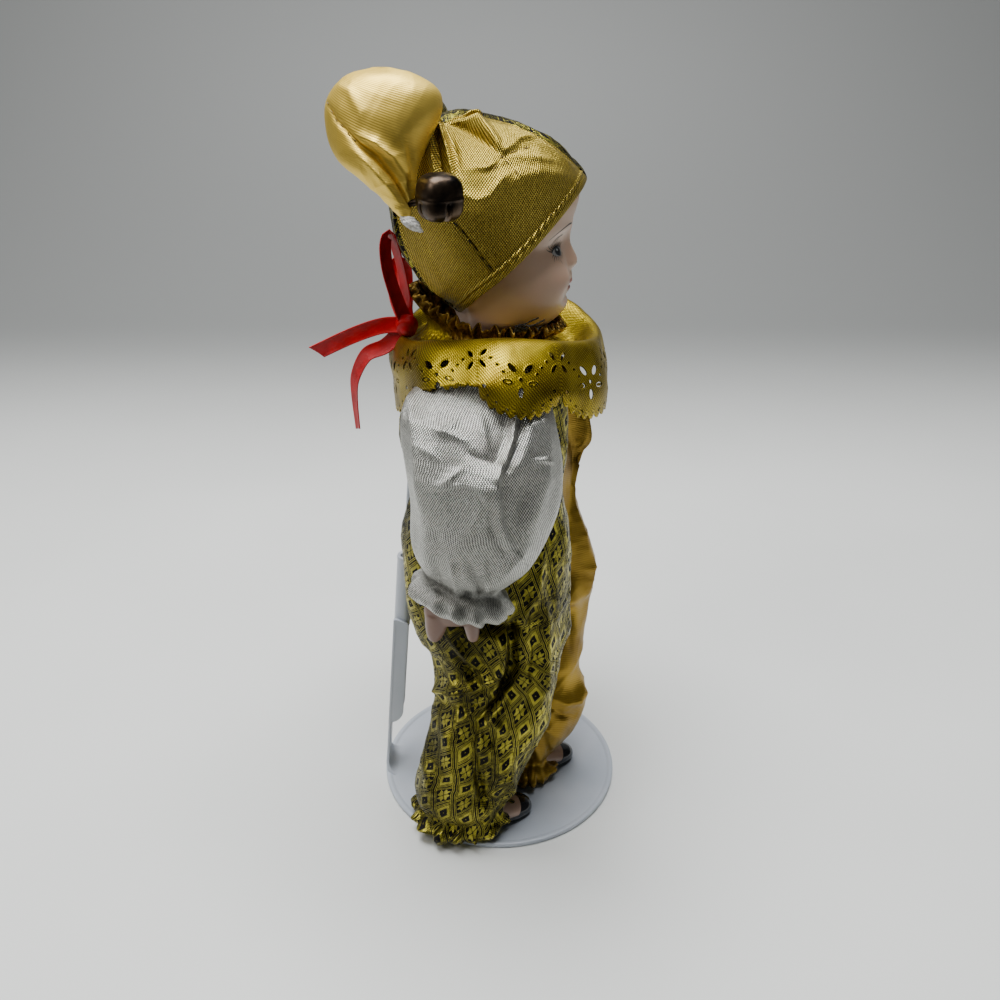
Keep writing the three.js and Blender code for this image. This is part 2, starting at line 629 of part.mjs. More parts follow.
function collarPoint([side, front, back, zSide, zFront, zBack], azimuth, outward = 0) {
  const c = Math.cos(azimuth);
  const s = Math.sin(azimuth);
  const along = s < 0 ? front : back;
  const height = zSide * c * c + (s < 0 ? zFront : zBack) * s * s;
  const x = (side + outward) * c;
  const y = COLLAR_CENTRE_Y + along * s;
  return new THREE.Vector3(x, y, height).multiplyScalar(MODULE);
}

// The line down the middle of the cloth at one azimuth, from the frill's edge to the hem
function collarLine(degrees) {
  const azimuth = THREE.MathUtils.degToRad(degrees);
  const hang = scallopAt(degrees);
  const lowest = COLLAR_ROWS[COLLAR_ROWS.length - 1];
  const hem = collarPoint(lowest, azimuth, SCALLOP_FLARE * hang * Math.abs(Math.cos(azimuth)));
  hem.z -= (SCALLOP_DROP * hang + NOTCH_DROP) * MODULE;
  const line = [...COLLAR_ROWS.map((row) => collarPoint(row, azimuth)), hem];
  const off = ((degrees - HITCH_AZIMUTH + 540) % 360) - 180;
  const lift = HITCH_LIFT * Math.exp(-((off / HITCH_REACH) ** 2)) * MODULE;
  line[line.length - 1].z += lift;
  line[line.length - 2].z += lift;
  line[line.length - 3].z += lift / 2;
  return line;
}

// The section of the cloth at one azimuth: down its outer face and back up the inner one.
function collarSection(degrees, grow) {
  const azimuth = THREE.MathUtils.degToRad(degrees);
  const radial = new THREE.Vector3(Math.cos(azimuth), Math.sin(azimuth), 0);
  const line = collarLine(degrees);
  const half = COLLAR_CLOTH / 2 + grow;
  const offset = (p, k, distance) => {
    const step = line[Math.min(k + 1, line.length - 1)].clone().sub(line[Math.max(k - 1, 0)]);
    const out = step.dot(radial);
    const length = Math.hypot(out, step.z);
    const normal = radial.clone().multiplyScalar(-step.z / length).setZ(out / length);
    const past = k === 0 ? -grow : (k === line.length - 1 ? grow : 0);
    return p.clone().addScaledVector(normal, distance).add(step.setLength(past));
  };
  const outer = line.map((p, k) => offset(p, k, half));
  const inner = line.map((p, k) => offset(p, k, -half)).reverse();
  return [...outer, ...inner].map((p) => p.setZ(p.z + SOLE_HEIGHT));
}

function collarSolid(grow = 0) {
  const count = SCALLOPS * POINTS_PER_SCALLOP;
  const turns = Array.from({ length: count }, (_, i) => FIRST_SCALLOP_AZIMUTH + (360 * i) / count);
  return solidOf(skinLoop(turns.map((degrees) => collarSection(degrees, grow))));
}

// Ribbon and thread

// A flat ribbon along a path of points, each given as x, y, height and the twist of its width
// from the X axis in degrees.
function ribbonStrip(path, grow) {
  const count = path.length - 1;
  const curve = new THREE.CatmullRomCurve3(path.map(([x, y, z]) => new THREE.Vector3(x, y, z)));
  curve.points.forEach((point) => point.multiplyScalar(MODULE).setZ(point.z + SOLE_HEIGHT));
  const rings = Array.from({ length: count + 1 }, (_, i) => {
    const twist = THREE.MathUtils.degToRad(path[i][3]);
    const centre = curve.getPoint(i / count);
    const tangent = curve.getTangent(i / count);
    const across = new THREE.Vector3(Math.cos(twist), 0, Math.sin(twist));
    across.addScaledVector(tangent, -across.dot(tangent)).setLength(RIBBON_WIDTH / 2 + grow);
    const up = tangent.clone().cross(across).setLength(RIBBON_CLOTH / 2 + grow);
    const corner = (a, b) => centre.clone().addScaledVector(across, a).addScaledVector(up, b);
    return [corner(-1, -1), corner(1, -1), corner(1, 1), corner(-1, 1)];
  });
  return solidOf(skin(rings));
}

// Paths of the ribbon's two ends and two loops from the knot
const RIBBON_PATHS = [
  [[-5.6, 24.6, 153, 70], [-5.4, 31, 152.6, 80], [-5, 39, 149.8, 85], [-4.4, 49, 145, 90]],
  [[-5.6, 25.6, 151.4, 80], [-5.6, 30.4, 147.2, 60], [-5.2, 35.6, 144.6, 30], [-4.6, 39, 138.4, 10],
    [-4.2, 39.7, 132.6, -20], [-4, 39.4, 122.6, -50]],
  [[-5.6, 24.6, 154, 10], [-7, 26.4, 160, 10], [-7.4, 28.4, 168, 10], [-7, 28.8, 174, 10],
    [-6, 27.8, 176.6, 10], [-4.8, 26.6, 173, 10], [-4.2, 25, 165, 10], [-4.8, 24, 154, 10]],
  [[-4.6, 24.6, 153.6, 10], [1, 27.2, 158, 10], [8, 28.2, 162.4, 10], [13, 27.8, 164.6, 10],
    [15.2, 26.4, 162.2, 10], [12, 26, 158, 10], [6, 25.6, 154.6, 10], [-3, 24.8, 152.6, 10]],
];
const KNOT = [-5.6, 24.4, 152.8];
const KNOT_SIZE = [6.2, 5, 6.2];

function neckRibbon(grow = 0) {
  const knot = new THREE.SphereGeometry(0.5, 8, 6);
  knot.scale(...KNOT_SIZE.map((size) => size * MODULE + 2 * grow));
  knot.translate(...KNOT.map((place) => place * MODULE));
  knot.translate(0, 0, SOLE_HEIGHT);
  return RIBBON_PATHS.reduce((all, path) => all.add(ribbonStrip(path, grow)), solidOf(knot));
}

function chinThread() {
  const path = [[-15.2, -3.2, 153.2], [-15.1, -7, 155], [-14.8, -10, 154.2], [-13, -14.2, 156]];
  const points = path.map(([x, y, z]) => new THREE.Vector3(x, y, z).multiplyScalar(MODULE));
  const curve = new THREE.CatmullRomCurve3(points);
  const section = new THREE.Shape();
  section.absarc(0, 0, THREAD_DIAMETER / 2, 0, 2 * Math.PI, false);
  const thread = new THREE.ExtrudeGeometry(section, { steps: 6, extrudePath: curve, curveSegments: 3 });
  const knot = new THREE.SphereGeometry(THREAD_DIAMETER, 5, 4);
  knot.translate(...curve.getPoint(0.3).toArray());
  return solidOf(thread).add(solidOf(knot)).translate(0, 0, SOLE_HEIGHT);
}

// Assembly: each piece is cut clear of the pieces that it lies against.
const looks = {
  paint: { color: 0xdfe6ee, roughness: 0.4, metalness: 0.1 },
  wire: { color: 0xe6ebf0, roughness: 0.4, metalness: 0.2 },
  porcelain: { color: 0xe0b8a2, roughness: 0.25, metalness: 0 },
  brocade: { color: 0x4a4416, roughness: 0.45, metalness: 0.4 },
  satin: { color: 0xb8922a, roughness: 0.35, metalness: 0.4 },
  lame: { color: 0xb9a13a, roughness: 0.35, metalness: 0.5 },
  silver: { color: 0xc4c4be, roughness: 0.4, metalness: 0.5 },
  bell: { color: 0x2a2724, roughness: 0.25, metalness: 0.9 },
  wadding: { color: 0xf2efe9, roughness: 0.95, metalness: 0 },
  ribbon: { color: 0xc1121c, roughness: 0.4, metalness: 0 },
  thread: { color: 0x15120f, roughness: 0.8, metalness: 0 },
};

const model = new THREE.Group();

function addPiece(name, solid, look) {
  const mesh = new THREE.Mesh(geometryOf(solid), new THREE.MeshStandardMaterial(looks[look]));
  mesh.name = name;
  model.add(mesh);
}

const base = standBase();
const rod = standRod();
const rodRoom = standRod(FIT_GAP);
const headRoom = headSolid(FIT_GAP);
const capRoom = capSolid(FIT_GAP);
const rightFootRoom = footSolid(HEEL_RIGHT, FIT_GAP);
const leftFootRoom = footSolid(HEEL_LEFT, FIT_GAP);

const ribbon = largestBody(neckRibbon().subtract(capRoom));
const collar = largestBody(
  collarSolid().subtract(headRoom).subtract(capRoom).subtract(neckRibbon(FIT_GAP)),
);
const collarRoom = collarSolid(FIT_GAP);

const seam = FIT_GAP / 2;
const brocade = largestBody(halfSuit(BROCADE_ROWS, 0).subtract(acrossSeam(-1, seam))
  .subtract(headRoom).subtract(rodRoom).subtract(rightFootRoom).subtract(leftFootRoom));
const brocadeRoom = halfSuit(BROCADE_ROWS, FIT_GAP).subtract(acrossSeam(-1, -seam));
const gold = largestBody(halfSuit(GOLD_ROWS, 0).subtract(acrossSeam(1, seam)).subtract(brocadeRoom)
  .subtract(headRoom).subtract(rodRoom).subtract(leftFootRoom).subtract(rightFootRoom));
const goldRoom = halfSuit(GOLD_ROWS, FIT_GAP).subtract(acrossSeam(1, -seam));

const sleeve = (side, suitRoom) => {
  const rows = side < 0 ? mirrorRows(SLEEVE_ROWS) : SLEEVE_ROWS;
  const shape = (point, angle, z, cx, cy) => folded(point, angle, z, cx, cy, SLEEVE_FOLDS);
  const puff = column(rows, { sides: SLEEVE_SIDES, shape });
  return largestBody(puff.subtract(suitRoom).subtract(collarRoom).subtract(handSolid(side, FIT_GAP)));
};
const horn = (side) => largestBody(
  hornSolid(side).subtract(capRoom).subtract(bellSolid(side, FIT_GAP)),
);
const wadding = largestBody(waddingSolid().subtract(capRoom).subtract(bellSolid(-1, FIT_GAP)));

addPiece('stand_base', base, 'paint');
addPiece('stand_rod', rod, 'wire');
addPiece('foot_right', footSolid(HEEL_RIGHT), 'porcelain');
addPiece('foot_left', footSolid(HEEL_LEFT), 'porcelain');
addPiece('suit_brocade', brocade, 'brocade');
addPiece('suit_gold', gold, 'satin');
addPiece('sleeve_right', sleeve(-1, brocadeRoom), 'silver');
addPiece('sleeve_left', sleeve(1, goldRoom), 'silver');
addPiece('hand_right', handSolid(-1), 'porcelain');
addPiece('hand_left', handSolid(1), 'porcelain');
addPiece('head', headSolid(), 'porcelain');
addPiece('cap_gold', capHalf(-1), 'lame');
addPiece('cap_brocade', capHalf(1), 'brocade');
addPiece('horn_gold', horn(-1), 'satin');
addPiece('horn_brocade', horn(1), 'brocade');
addPiece('horn_wadding', wadding, 'wadding');
addPiece('bell_right', bellSolid(-1), 'bell');
addPiece('bell_left', bellSolid(1), 'bell');
addPiece('collar', collar, 'lame');
addPiece('neck_ribbon', ribbon, 'ribbon');
addPiece('chin_thread', largestBody(chinThread().subtract(headRoom).subtract(collarRoom)), 'thread');

export default model;
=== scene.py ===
import bpy
import numpy as np
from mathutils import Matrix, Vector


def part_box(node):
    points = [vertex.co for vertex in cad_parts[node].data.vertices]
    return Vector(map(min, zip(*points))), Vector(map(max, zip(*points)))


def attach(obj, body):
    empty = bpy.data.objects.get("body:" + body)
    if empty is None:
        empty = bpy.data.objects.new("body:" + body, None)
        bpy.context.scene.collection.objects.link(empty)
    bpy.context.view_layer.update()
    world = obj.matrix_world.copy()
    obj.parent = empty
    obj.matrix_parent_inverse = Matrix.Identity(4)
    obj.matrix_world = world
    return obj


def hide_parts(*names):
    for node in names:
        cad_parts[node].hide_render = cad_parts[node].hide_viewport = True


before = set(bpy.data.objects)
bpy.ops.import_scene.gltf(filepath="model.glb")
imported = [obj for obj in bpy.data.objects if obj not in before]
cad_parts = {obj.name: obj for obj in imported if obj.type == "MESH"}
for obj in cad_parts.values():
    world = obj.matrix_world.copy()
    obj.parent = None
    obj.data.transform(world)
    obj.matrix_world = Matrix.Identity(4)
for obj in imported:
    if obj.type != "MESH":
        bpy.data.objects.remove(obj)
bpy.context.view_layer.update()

# Sizes are in modules of the figure, which is 216 of them high, and heights are above the soles.
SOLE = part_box("foot_right")[0][2]
MODULE = (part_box("horn_gold")[1][2] - SOLE) / 216

# The stand, in metres, from its solids
PLATE_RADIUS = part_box("stand_base")[1][0]
TUBE_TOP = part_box("stand_base")[1][2]
WAIST_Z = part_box("stand_rod")[1][2] - 0.0009
PLATE_THICKNESS = 0.0012
RIM_WIDTH = 0.0016
RIM_RISE = 0.0004
UPRIGHT_HALF_WIDTH = 0.0035
SHEET = 0.001
FLARE = 0.004
FLANGE_DEPTH = 0.0046
FLANGE_START = 0.020
FLANGE_TOP = 0.060
TUBE_START = 0.057
TUBE_RADIUS = 0.0027
TUBE_WALL = 0.0011
TUBE_SLOT = 0.45
WORN_EDGE = 0.00025
ROD_START = TUBE_TOP - 0.018
ROD_RADIUS = 0.0009
WIRE_BACK = 25.6
LEAN = (PLATE_RADIUS - TUBE_RADIUS - WIRE_BACK * MODULE) / WAIST_Z
CLIP_CENTRE = 4
CLIP_HALF_WIDTH = 24.2
CLIP_REACH = np.radians(205)
# How far inside the wire the cloth of the waist is pressed
CLIP_PRESS = 1.3

# The doll's sides: its right is towards -x
SIDE = {-1: "right", 1: "left"}

# Pose tables as in the solids: height, centre x, centre y, half width, half depth.
BROCADE_ROWS = [
    [1.3, -26.6, 11.8, 12.2, 14.4], [3.6, -26.6, 11.6, 13.8, 15.8], [7, -26.6, 10.8, 11.6, 12.8],
    [13, -25.8, 11, 14, 15.3], [26.5, -23.5, 6.3, 14.2, 16.4], [36.5, -21.5, 2.8, 14.6, 17.6],
    [45.5, -19.2, 1.3, 14.8, 18], [56.5, -15.6, 1, 15, 20], [62, -13, 2.2, 17.6, 22.8],
    [71, -12, 3.4, 18.5, 23.9], [82, -10.9, 3.7, 18.4, 24.3], [94, -10, 3.6, 17.8, 24.2],
    [102, -9.4, 3.2, 16.8, 22.2], [109, -9, 2.9, 16.4, 21],
    [116, -9, 3.7, 17, 22.4], [124, -9, 4.5, 17.6, 23.2], [135, -9, 4, 17.5, 21.6],
    [140.6, -9, 3, 15.2, 17.2], [143.4, -8, 2.5, 11, 12.5],
]
GOLD_ROWS = [
    [1.3, -5.6, -8.2, 9, 9.6], [3.6, -5.4, -8.4, 9.8, 10.4], [7, -4.6, -9, 6.6, 7],
    [11, -3, -10, 8.8, 9.8], [17.5, 0, -12, 12, 13.5], [26.5, 3, -13, 13.5, 15.4],
    [36.5, 5.5, -11.2, 13.4, 14.9], [43, 7.4, -10, 13.4, 17.3], [56.5, 12, -7, 12.6, 22],
    [62, 11, -4.5, 15.6, 25], [71, 10, -1.8, 18, 27.7], [82.5, 10, 0.5, 18, 27.5],
    [95.5, 10, 2, 17.5, 25.8], [108, 9, 0.5, 16.8, 25.3], [115, 9, 0, 17.2, 26.6],
    [122.5, 9, 1, 17.6, 26.5], [135, 9, 1.5, 17.5, 23.5], [140.6, 9, 2, 15.2, 17.5],
    [143.4, 8, 2, 11, 12.5],
]
SLEEVE_ROWS = [
    [83.6, 36.6, 9.4, 10.2, 12], [86.6, 36.6, 10, 11.6, 13.2], [90.6, 36.6, 10.2, 10.4, 12.2],
    [93.8, 36.4, 9.4, 8.2, 9.8], [97, 36.5, 8.2, 10.8, 12.4], [101, 37, 6.3, 13.4, 15.2],
    [107, 37, 5, 15, 17.4], [116, 36.5, 3.5, 16, 18.9], [126, 35.5, 4, 16, 19.4],
    [135.5, 33.4, 5.2, 15.2, 18.9], [142, 30.5, 5.5, 13.6, 17.5], [146.5, 27.5, 5, 11, 13.5],
    [149, 25, 4.5, 7, 8],
]
HORN_ROWS = [
    [184, 27.5, 21.2, 0.6, 0.6], [186.6, 26.8, 22.3, 2.3, 2.3], [190, 25.4, 23.6, 4.3, 4.4],
    [193.4, 23.6, 25.7, 6.4, 6.8], [196.4, 21, 27.4, 8.9, 9.3], [200, 17.4, 27.8, 11.9, 11.4],
    [204.6, 15.6, 27, 12.8, 13.2], [208.6, 15.5, 26.4, 11.7, 13.3], [212, 16.2, 25.9, 9.2, 11.5],
    [214.6, 16.4, 26.3, 6.2, 7.8], [216, 16.6, 26.7, 1.6, 2],
]
PALM_ROWS = [
    [79.5, 36, 12.3, 2.2, 5.6], [83, 36, 12.3, 3.6, 8], [88, 36.2, 11.2, 4.2, 7.4],
    [94, 36.4, 9.4, 4.4, 5.2], [101, 36.6, 7.8, 4.4, 4.8],
]
FINGER_ROWS = [
    [73.4, 35.6, 17.6, 0.8, 0.8], [74.4, 35.6, 17.6, 1.9, 1.8], [77.5, 35.8, 17.2, 2.7, 2.8],
    [83, 36, 16.4, 3.2, 3.7],
]
THUMB_ROWS = [
    [73, 35.2, 7.2, 0.7, 0.7], [74, 35.3, 7.2, 1.6, 1.5], [77.5, 35.6, 7.4, 2.3, 2.1],
    [83, 36, 7.9, 2.8, 2.9],
]
# Head and cap: height, half width, front y and back y from the neck's axis.
HEAD_ROWS = [
    [139, 9.5, -8, 9.4], [149, 9.2, -8, 9], [151.4, 10, -11, 9], [153.2, 12, -15.8, 9.2],
    [155.4, 14, -17.8, 9.8], [158.6, 15.6, -19, 11.4], [162, 16.8, -19.3, 14.4],
    [165.4, 17.6, -19.5, 17.5], [168.6, 18.1, -19.4, 19.5], [171.6, 18.5, -19.2, 20.8],
    [175, 18.7, -18.9, 21.8], [180, 18.8, -20.9, 22.2], [187, 17.8, -22.2, 21.4],
    [193, 14.6, -17.8, 18], [198, 9, -10, 12], [200.6, 1, -1.2, 1.4],
]
CAP_ROWS = [
    [157.5, 14.5, -17, 11], [160, 17.2, -20, 13.8], [163.4, 18.9, -22, 17.7],
    [168, 19.8, -23.2, 21.2], [175, 20.4, -23.9, 24.6],
    [184, 20.4, -24.8, 26.3], [188.8, 19.9, -24.4, 26.3], [193, 18.6, -21.4, 25.2],
    [197.2, 16.1, -16.4, 22.9], [200.8, 12.7, -10, 19.6], [203.6, 8.8, -2.8, 15.8],
    [206, 1.2, 7, 9],
]
# Foot: distance from the heel, half width, height. Leg above it: height, half width, half depth.
FOOT_ROWS = [
    [0, 1.4, 4], [1.2, 3.4, 7], [4.5, 4.1, 9.6], [9, 4.4, 9.6], [13.5, 4.8, 7.2],
    [18, 5, 5.6], [21.5, 4.2, 4.6], [23.6, 2.4, 3.4], [24.2, 0.8, 2.4],
]
ANKLE_ROWS = [[4, 3.9, 4.6], [9, 3.9, 4.6], [14, 3.6, 3.9], [24, 4, 4.2]]
# Collar, from the frill's edge over the fold to the hem: radii to the side, the front and the
# back, then the heights in the same order. At the back the hem lies 2 further in than on the
# solid.
COLLAR_ROWS = [
    [15.5, 18, 22.6, 154.6, 152, 162.6], [12.8, 13.6, 18.6, 150.6, 148, 153],
    [20, 20, 22.6, 149.6, 145.6, 148], [28.4, 26.8, 26.2, 156.6, 149.8, 149.8],
    [36, 29.4, 29.4, 153.8, 143.6, 143], [42, 30.4, 28.6, 148.6, 138.2, 136.2],
]
COLLAR_CENTRE_Y = 0.4
SCALLOPS = 9
SCALLOP_DROP = 5.8
SCALLOP_FLARE = 3.4
NOTCH_DROP = 0.6
FOLDED_AZIMUTH = 160
FOLDED_SHARE = 0.12
FIRST_SCALLOP_AZIMUTH = 190.2
HITCH_AZIMUTH = 142
HITCH_REACH = 42
HITCH_LIFT = 2.6
EDGE_SCALLOPS = 9

CROTCH_HEIGHT = 57.5
SEAM_FRONT = -17.5
SEAM_BACK = 23.5
SEAM_REACH = 7
SEAM_LAP = 0.12
NECK_Y = 2
CAP_YAW = np.radians(16)
HEM_SUM = 166.2
CAP_SEAM_SHIFT = -6
CAP_SEAM_TURN = np.radians(3)
LEFT_HORN_DROP = 6.5
BELL_PLACE = [30, 13.4, 190]
BELL_STITCH = [26.4, 22.2, 187.6]
BELL_RADIUS = 5.0
BELL_TURN = np.radians(28)
WADDING_PLACE = [-28, 20.2, 183.8]
WADDING_SIZE = [1.5, 2.9, 1.2]
WADDING_TILT = np.radians(35)
HEEL_RIGHT = [-33.3, 11.2]
HEEL_LEFT = [-8.6, -3.4]
FOOT_HEADING = np.radians(211)
CASTING_GRAIN = 0.0004
ANKLE_SETBACK = 6
ELASTIC_HEIGHT = 93.8
FRILL_SHARE = 0.74
WRIST_RISE = 0.24
# The collar's underside over a shoulder: height and reach to the side, the gap left under it
# and its half depth
COLLAR_SLOPE = [[141, 60], [148.6, 41], [153.8, 34.6], [156.6, 27]]
COLLAR_GAP = 1.2
COLLAR_DEPTH = 33

# Cloth thicknesses in metres, and levels and columns of the meshes, finer on the side in view
CAP_CLOTH = 0.0006
COLLAR_CLOTH = 0.00028
RIBBON_CLOTH = 0.0003
SLEEVE_MESH = {-1: (220, 260), 1: (140, 140)}
CAP_MESH = {-1: (150, 165), 1: (110, 110)}
HORN_MESH = {-1: (170, 180), 1: (110, 110)}

# The camera, fitted to the photograph
EYE = np.array([-0.2613, -0.00017, 0.2329])
PITCH = np.radians(26.99)
FOCAL = 1000
AHEAD = np.array([np.cos(PITCH), 0, -np.sin(PITCH)])
UPWARD = np.array([np.sin(PITCH), 0, np.cos(PITCH)])
RIGHTWARD = np.array([0, -1, 0])

# Folds of the cloth, as lines in the photograph's pixels. A row has how far the fold spreads to
# its right and its left, seen along the line, and then its points: x, y and height in modules.
SLEEVE_FOLDS = [
    [3, 24, 516, 404, 1.2, 513, 417, 2.0, 510, 441, 2.3, 503, 460, 2.1, 497, 473, 1.2, 494, 483, 0],
    [16, 3, 501, 468, 0, 497, 479, 1.1, 497, 490, 1.6, 500, 517, 1.7, 506, 536, 1.3, 514, 547, 0.4],
    [9, 6, 522, 412, -0.8, 519, 430, -1.6, 514, 452, -1.6, 505, 470, -1.0, 500, 480, 0],
    [4, 7, 492, 486, 0, 489, 505, -0.9, 492, 530, -1.0, 500, 548, -0.5],
    [2.5, 13, 434, 490, 0.2, 450, 487, 0.8, 464, 484, 0.9, 478, 487, 0.9, 487, 500, 0.8, 489, 518, 0.3],
    [3, 4, 436, 488, 0.2, 448, 480, 0.7, 462, 469, 0.3],
    [3, 4, 438, 431, 0.3, 452, 435, 0.9, 464, 441, 0.3],
    [3, 3, 455, 423, 0.3, 445, 431, 0.6, 441, 439, 0.1],
    [6, 4, 477, 412, 0.4, 484, 432, 0.7, 487, 449, 0.2],
    [5, 5, 462, 448, -0.1, 474, 458, -0.6, 486, 462, -0.1],
    [4, 4, 418, 446, 0.2, 430, 452, 0.6, 440, 462, 0.1],
    [2.5, 2, 528, 461, 0.1, 539, 460, 0.9, 550, 462, 0.2],
    [9, 9, 541, 412, 0.3, 546, 440, 0.8, 545, 480, 0.9, 534, 520, 0.4],
    [7, 6, 528, 480, 0, 524, 510, -0.8, 518, 535, -0.4],
    [5, 8, 410, 398, 0.5, 414, 430, 0.8, 417, 470, 0.7, 418, 520, 0.4],
    [7, 7, 440, 505, 0, 434, 535, -0.7, 438, 565, -0.5],
    [4, 5, 482, 508, 0.1, 470, 530, 0.7, 455, 556, 0.5],
    [6, 6, 528, 548, 0.2, 508, 568, 1.0, 494, 584, 0.7],
    [3.5, 3.5, 448, 552, 0.2, 454, 572, 0.9, 457, 592, 0.8],
    [3.5, 3.5, 466, 555, -0.1, 472, 572, -0.9, 477, 592, -1.0],
    [4, 4, 430, 556, -0.1, 437, 574, -0.8, 441, 590, -0.6],
    [3, 3, 484, 560, 0.1, 484, 576, 0.7, 486, 590, 0.5],
]
BROCADE_FOLDS = [
    [7, 7, 542, 553, 0.5, 531, 600, 1.2, 509, 636, 1.6, 500, 668, 1.3, 488, 700, 0.4],
    [5, 5, 520, 605, -0.8, 513, 640, -2.4, 514, 672, -2.5, 498, 702, -1.9, 476, 722, -1.1,
     470, 745, -0.9, 475, 768, -1.2, 483, 798, -1.9],
    [9, 9, 462, 620, -1.2, 488, 627, -2.3, 514, 632, -2.0],
    [3, 8, 430, 690, 0.9, 452, 693, 1.2, 470, 690, 1.2, 490, 680, 1.0, 508, 666, 0.4],
    [6, 4, 436, 704, -0.3, 456, 711, -1.0, 476, 707, -0.9, 492, 696, -0.3],
    [9, 7, 534, 556, 0.3, 546, 620, 1.0, 546, 680, 0.9, 536, 722, 0.2],
    [5, 5, 530, 596, -0.3, 537, 650, -0.9, 530, 700, -0.6, 518, 724, 0],
    [9, 8, 440, 716, 0.2, 450, 745, 0.9, 452, 775, 0.8, 446, 797, 0.2],
    [6, 6, 428, 726, 0.3, 425, 760, 0.8, 430, 792, 0.4],
    [6, 8, 500, 756, 0.4, 508, 780, 1.5, 513, 800, 0.8],
    [4, 4, 449, 639, 0.2, 462, 652, 1.0, 475, 666, 0.3],
    [4, 4, 455, 654, -0.2, 472, 675, -0.9, 488, 694, -0.2],
    [4, 5, 472, 800, -0.4, 487, 806, -1.3, 502, 804, -0.6],
    [4, 4, 484, 716, 0.2, 500, 728, 0.8, 512, 744, 0.3],
    [4, 4, 478, 728, -0.1, 492, 742, -0.8, 500, 758, -0.2],
]
GOLD_FOLDS = [
    [6, 6, 565, 413, -0.8, 577, 450, -1.8, 580, 472, -1.6, 573, 512, -1.0, 566, 542, -0.3],
    [6, 6, 586, 413, 0.5, 591, 440, 1.1, 588, 472, 0.4],
    [5, 5, 573, 513, 0.3, 585, 545, 0.9, 593, 567, 1.2, 589, 592, 0.4],
    [5, 5, 570, 528, -0.4, 568, 590, -1.1, 571, 640, -0.6, 574, 662, 0],
    [3, 7, 551, 698, 0.4, 566, 704, 1.4, 579, 702, 1.4, 589, 687, 0.8, 590, 674, 0.2],
    [3, 3, 547, 705, -0.3, 562, 716, -1.1, 575, 716, -0.4],
    [4, 4, 535, 719, 0.2, 548, 730, 0.8, 559, 739, 0.2],
    [3, 3, 529, 734, 0.4, 535, 748, 1.1, 541, 762, 0.4],
    [3, 3, 544, 739, -0.3, 549, 752, -1.0, 552, 763, -0.3],
]
CAP_FOLDS = [
    [6, 5, 444, 112, 1.0, 466, 111, 1.9, 478, 121, 2.0, 488, 132, 1.9, 496, 143, 1.5, 503, 153, 0.5],
    [3, 3, 446, 120, -1.2, 466, 127, -1.5, 482, 138, -1.4, 498, 152, -0.6],
    [3, 3, 439, 122, 1.4, 445, 141, 1.7, 451, 166, 1.4, 454, 177, 0.5],
    [2.5, 2.5, 435, 138, -0.8, 438, 155, -1.4, 442, 176, -0.9],
    [3, 3, 430, 136, 1.0, 432, 156, 1.3, 435, 176, 0.6],
    [3, 3, 450, 134, -0.4, 456, 152, -0.8, 459, 172, -0.2],
    [10, 5, 452, 175, 0.5, 463, 194, 1.2, 477, 200, 1.3, 489, 195, 1.2, 502, 178, 1.0, 513, 171, 0.2],
    [10, 8, 508, 190, 0.1, 520, 176, 0.6, 540, 172, 0.7, 560, 176, 0.6, 576, 184, 0.1],
    [2, 2, 490, 173, -0.1, 502, 157, -0.4, 516, 151, -0.35, 532, 146, -0.1],
    [2, 2, 501, 152, -0.4, 511, 166, -0.4, 521, 181, -0.1],
    [3, 4, 505, 150, 0.4, 520, 138, 0.7, 538, 134, 0.2],
    [4, 4, 512, 156, 0.3, 535, 158, 0.6, 558, 162, 0.1],
    [3, 3, 500, 161, 0.3, 487, 167, 0.6, 468, 169, 0.2],
    [1.5, 1.5, 452, 220, -0.5, 473, 245, -0.8, 481, 257, -0.8, 493, 271, -0.5],
    [9, 8, 418, 232, -0.1, 430, 250, -0.6, 441, 264, -0.1],
    [9, 8, 472, 260, 0.1, 452, 278, 0.6, 438, 296, 0.1],
]
HORN_FOLDS = [
    [2, 1.6, 325, 98, -0.2, 335, 119, -0.7, 347, 132, -0.8, 358, 144, -1.4, 377, 158, -2.0,
     393, 176, -1.8, 402, 190, -1.3, 411, 206, -0.5],
    [3, 6, 357, 134, 0.1, 375, 143, 1.4, 392, 158, 1.6, 402, 174, 1.2, 408, 190, 0.1],
    [5, 3, 350, 146, 0.1, 368, 163, 0.9, 386, 183, 1.0, 400, 203, 0.3],
    [5, 6, 335, 83, 0.1, 350, 92, 0.5, 361, 112, 0.5, 365, 132, 0.1],
    [4, 4, 396, 130, 0.1, 404, 150, 0.6, 406, 176, 0.2],
    [4, 4, 408, 140, -0.2, 412, 160, -0.7, 412, 180, -0.3],
]
COLLAR_FOLDS = [
    [3, 9, 440, 359, 0.1, 460, 362, 1.2, 500, 364, 1.4, 540, 366, 1.2, 562, 366, 0.2],
    [6, 6, 446, 373, 0, 480, 376, -0.7, 520, 377, -0.6, 545, 375, 0],
    [7, 7, 404, 341, 0.1, 425, 349, 0.6, 448, 362, 0.2],
    [6, 6, 478, 384, 0, 476, 392, 0.6, 474, 402, 0.5],
]
# Lines of stitching in the photograph's pixels
HORN_SEAM = [[326, 99], [335, 119], [347, 132], [358, 144]]
CAP_DART = [[452, 220], [473, 245], [481, 257], [493, 271]]
CAP_TACK = [[490, 173], [502, 157], [516, 151], [532, 146]]
CAP_TACK_ACROSS = [[503, 155], [511, 166], [520, 179]]
CAP_TOPSTITCH = [[583, 172], [574, 187], [560, 204], [544, 222], [515, 253], [496, 273]]


# Shapes

def walk_along(points, axis=0):
    """The distance walked from the first point of a line, or of each line of a grid."""
    steps = np.linalg.norm(np.diff(points, axis=axis), axis=-1)
    return np.insert(np.cumsum(steps, axis=axis), 0, 0, axis=axis)


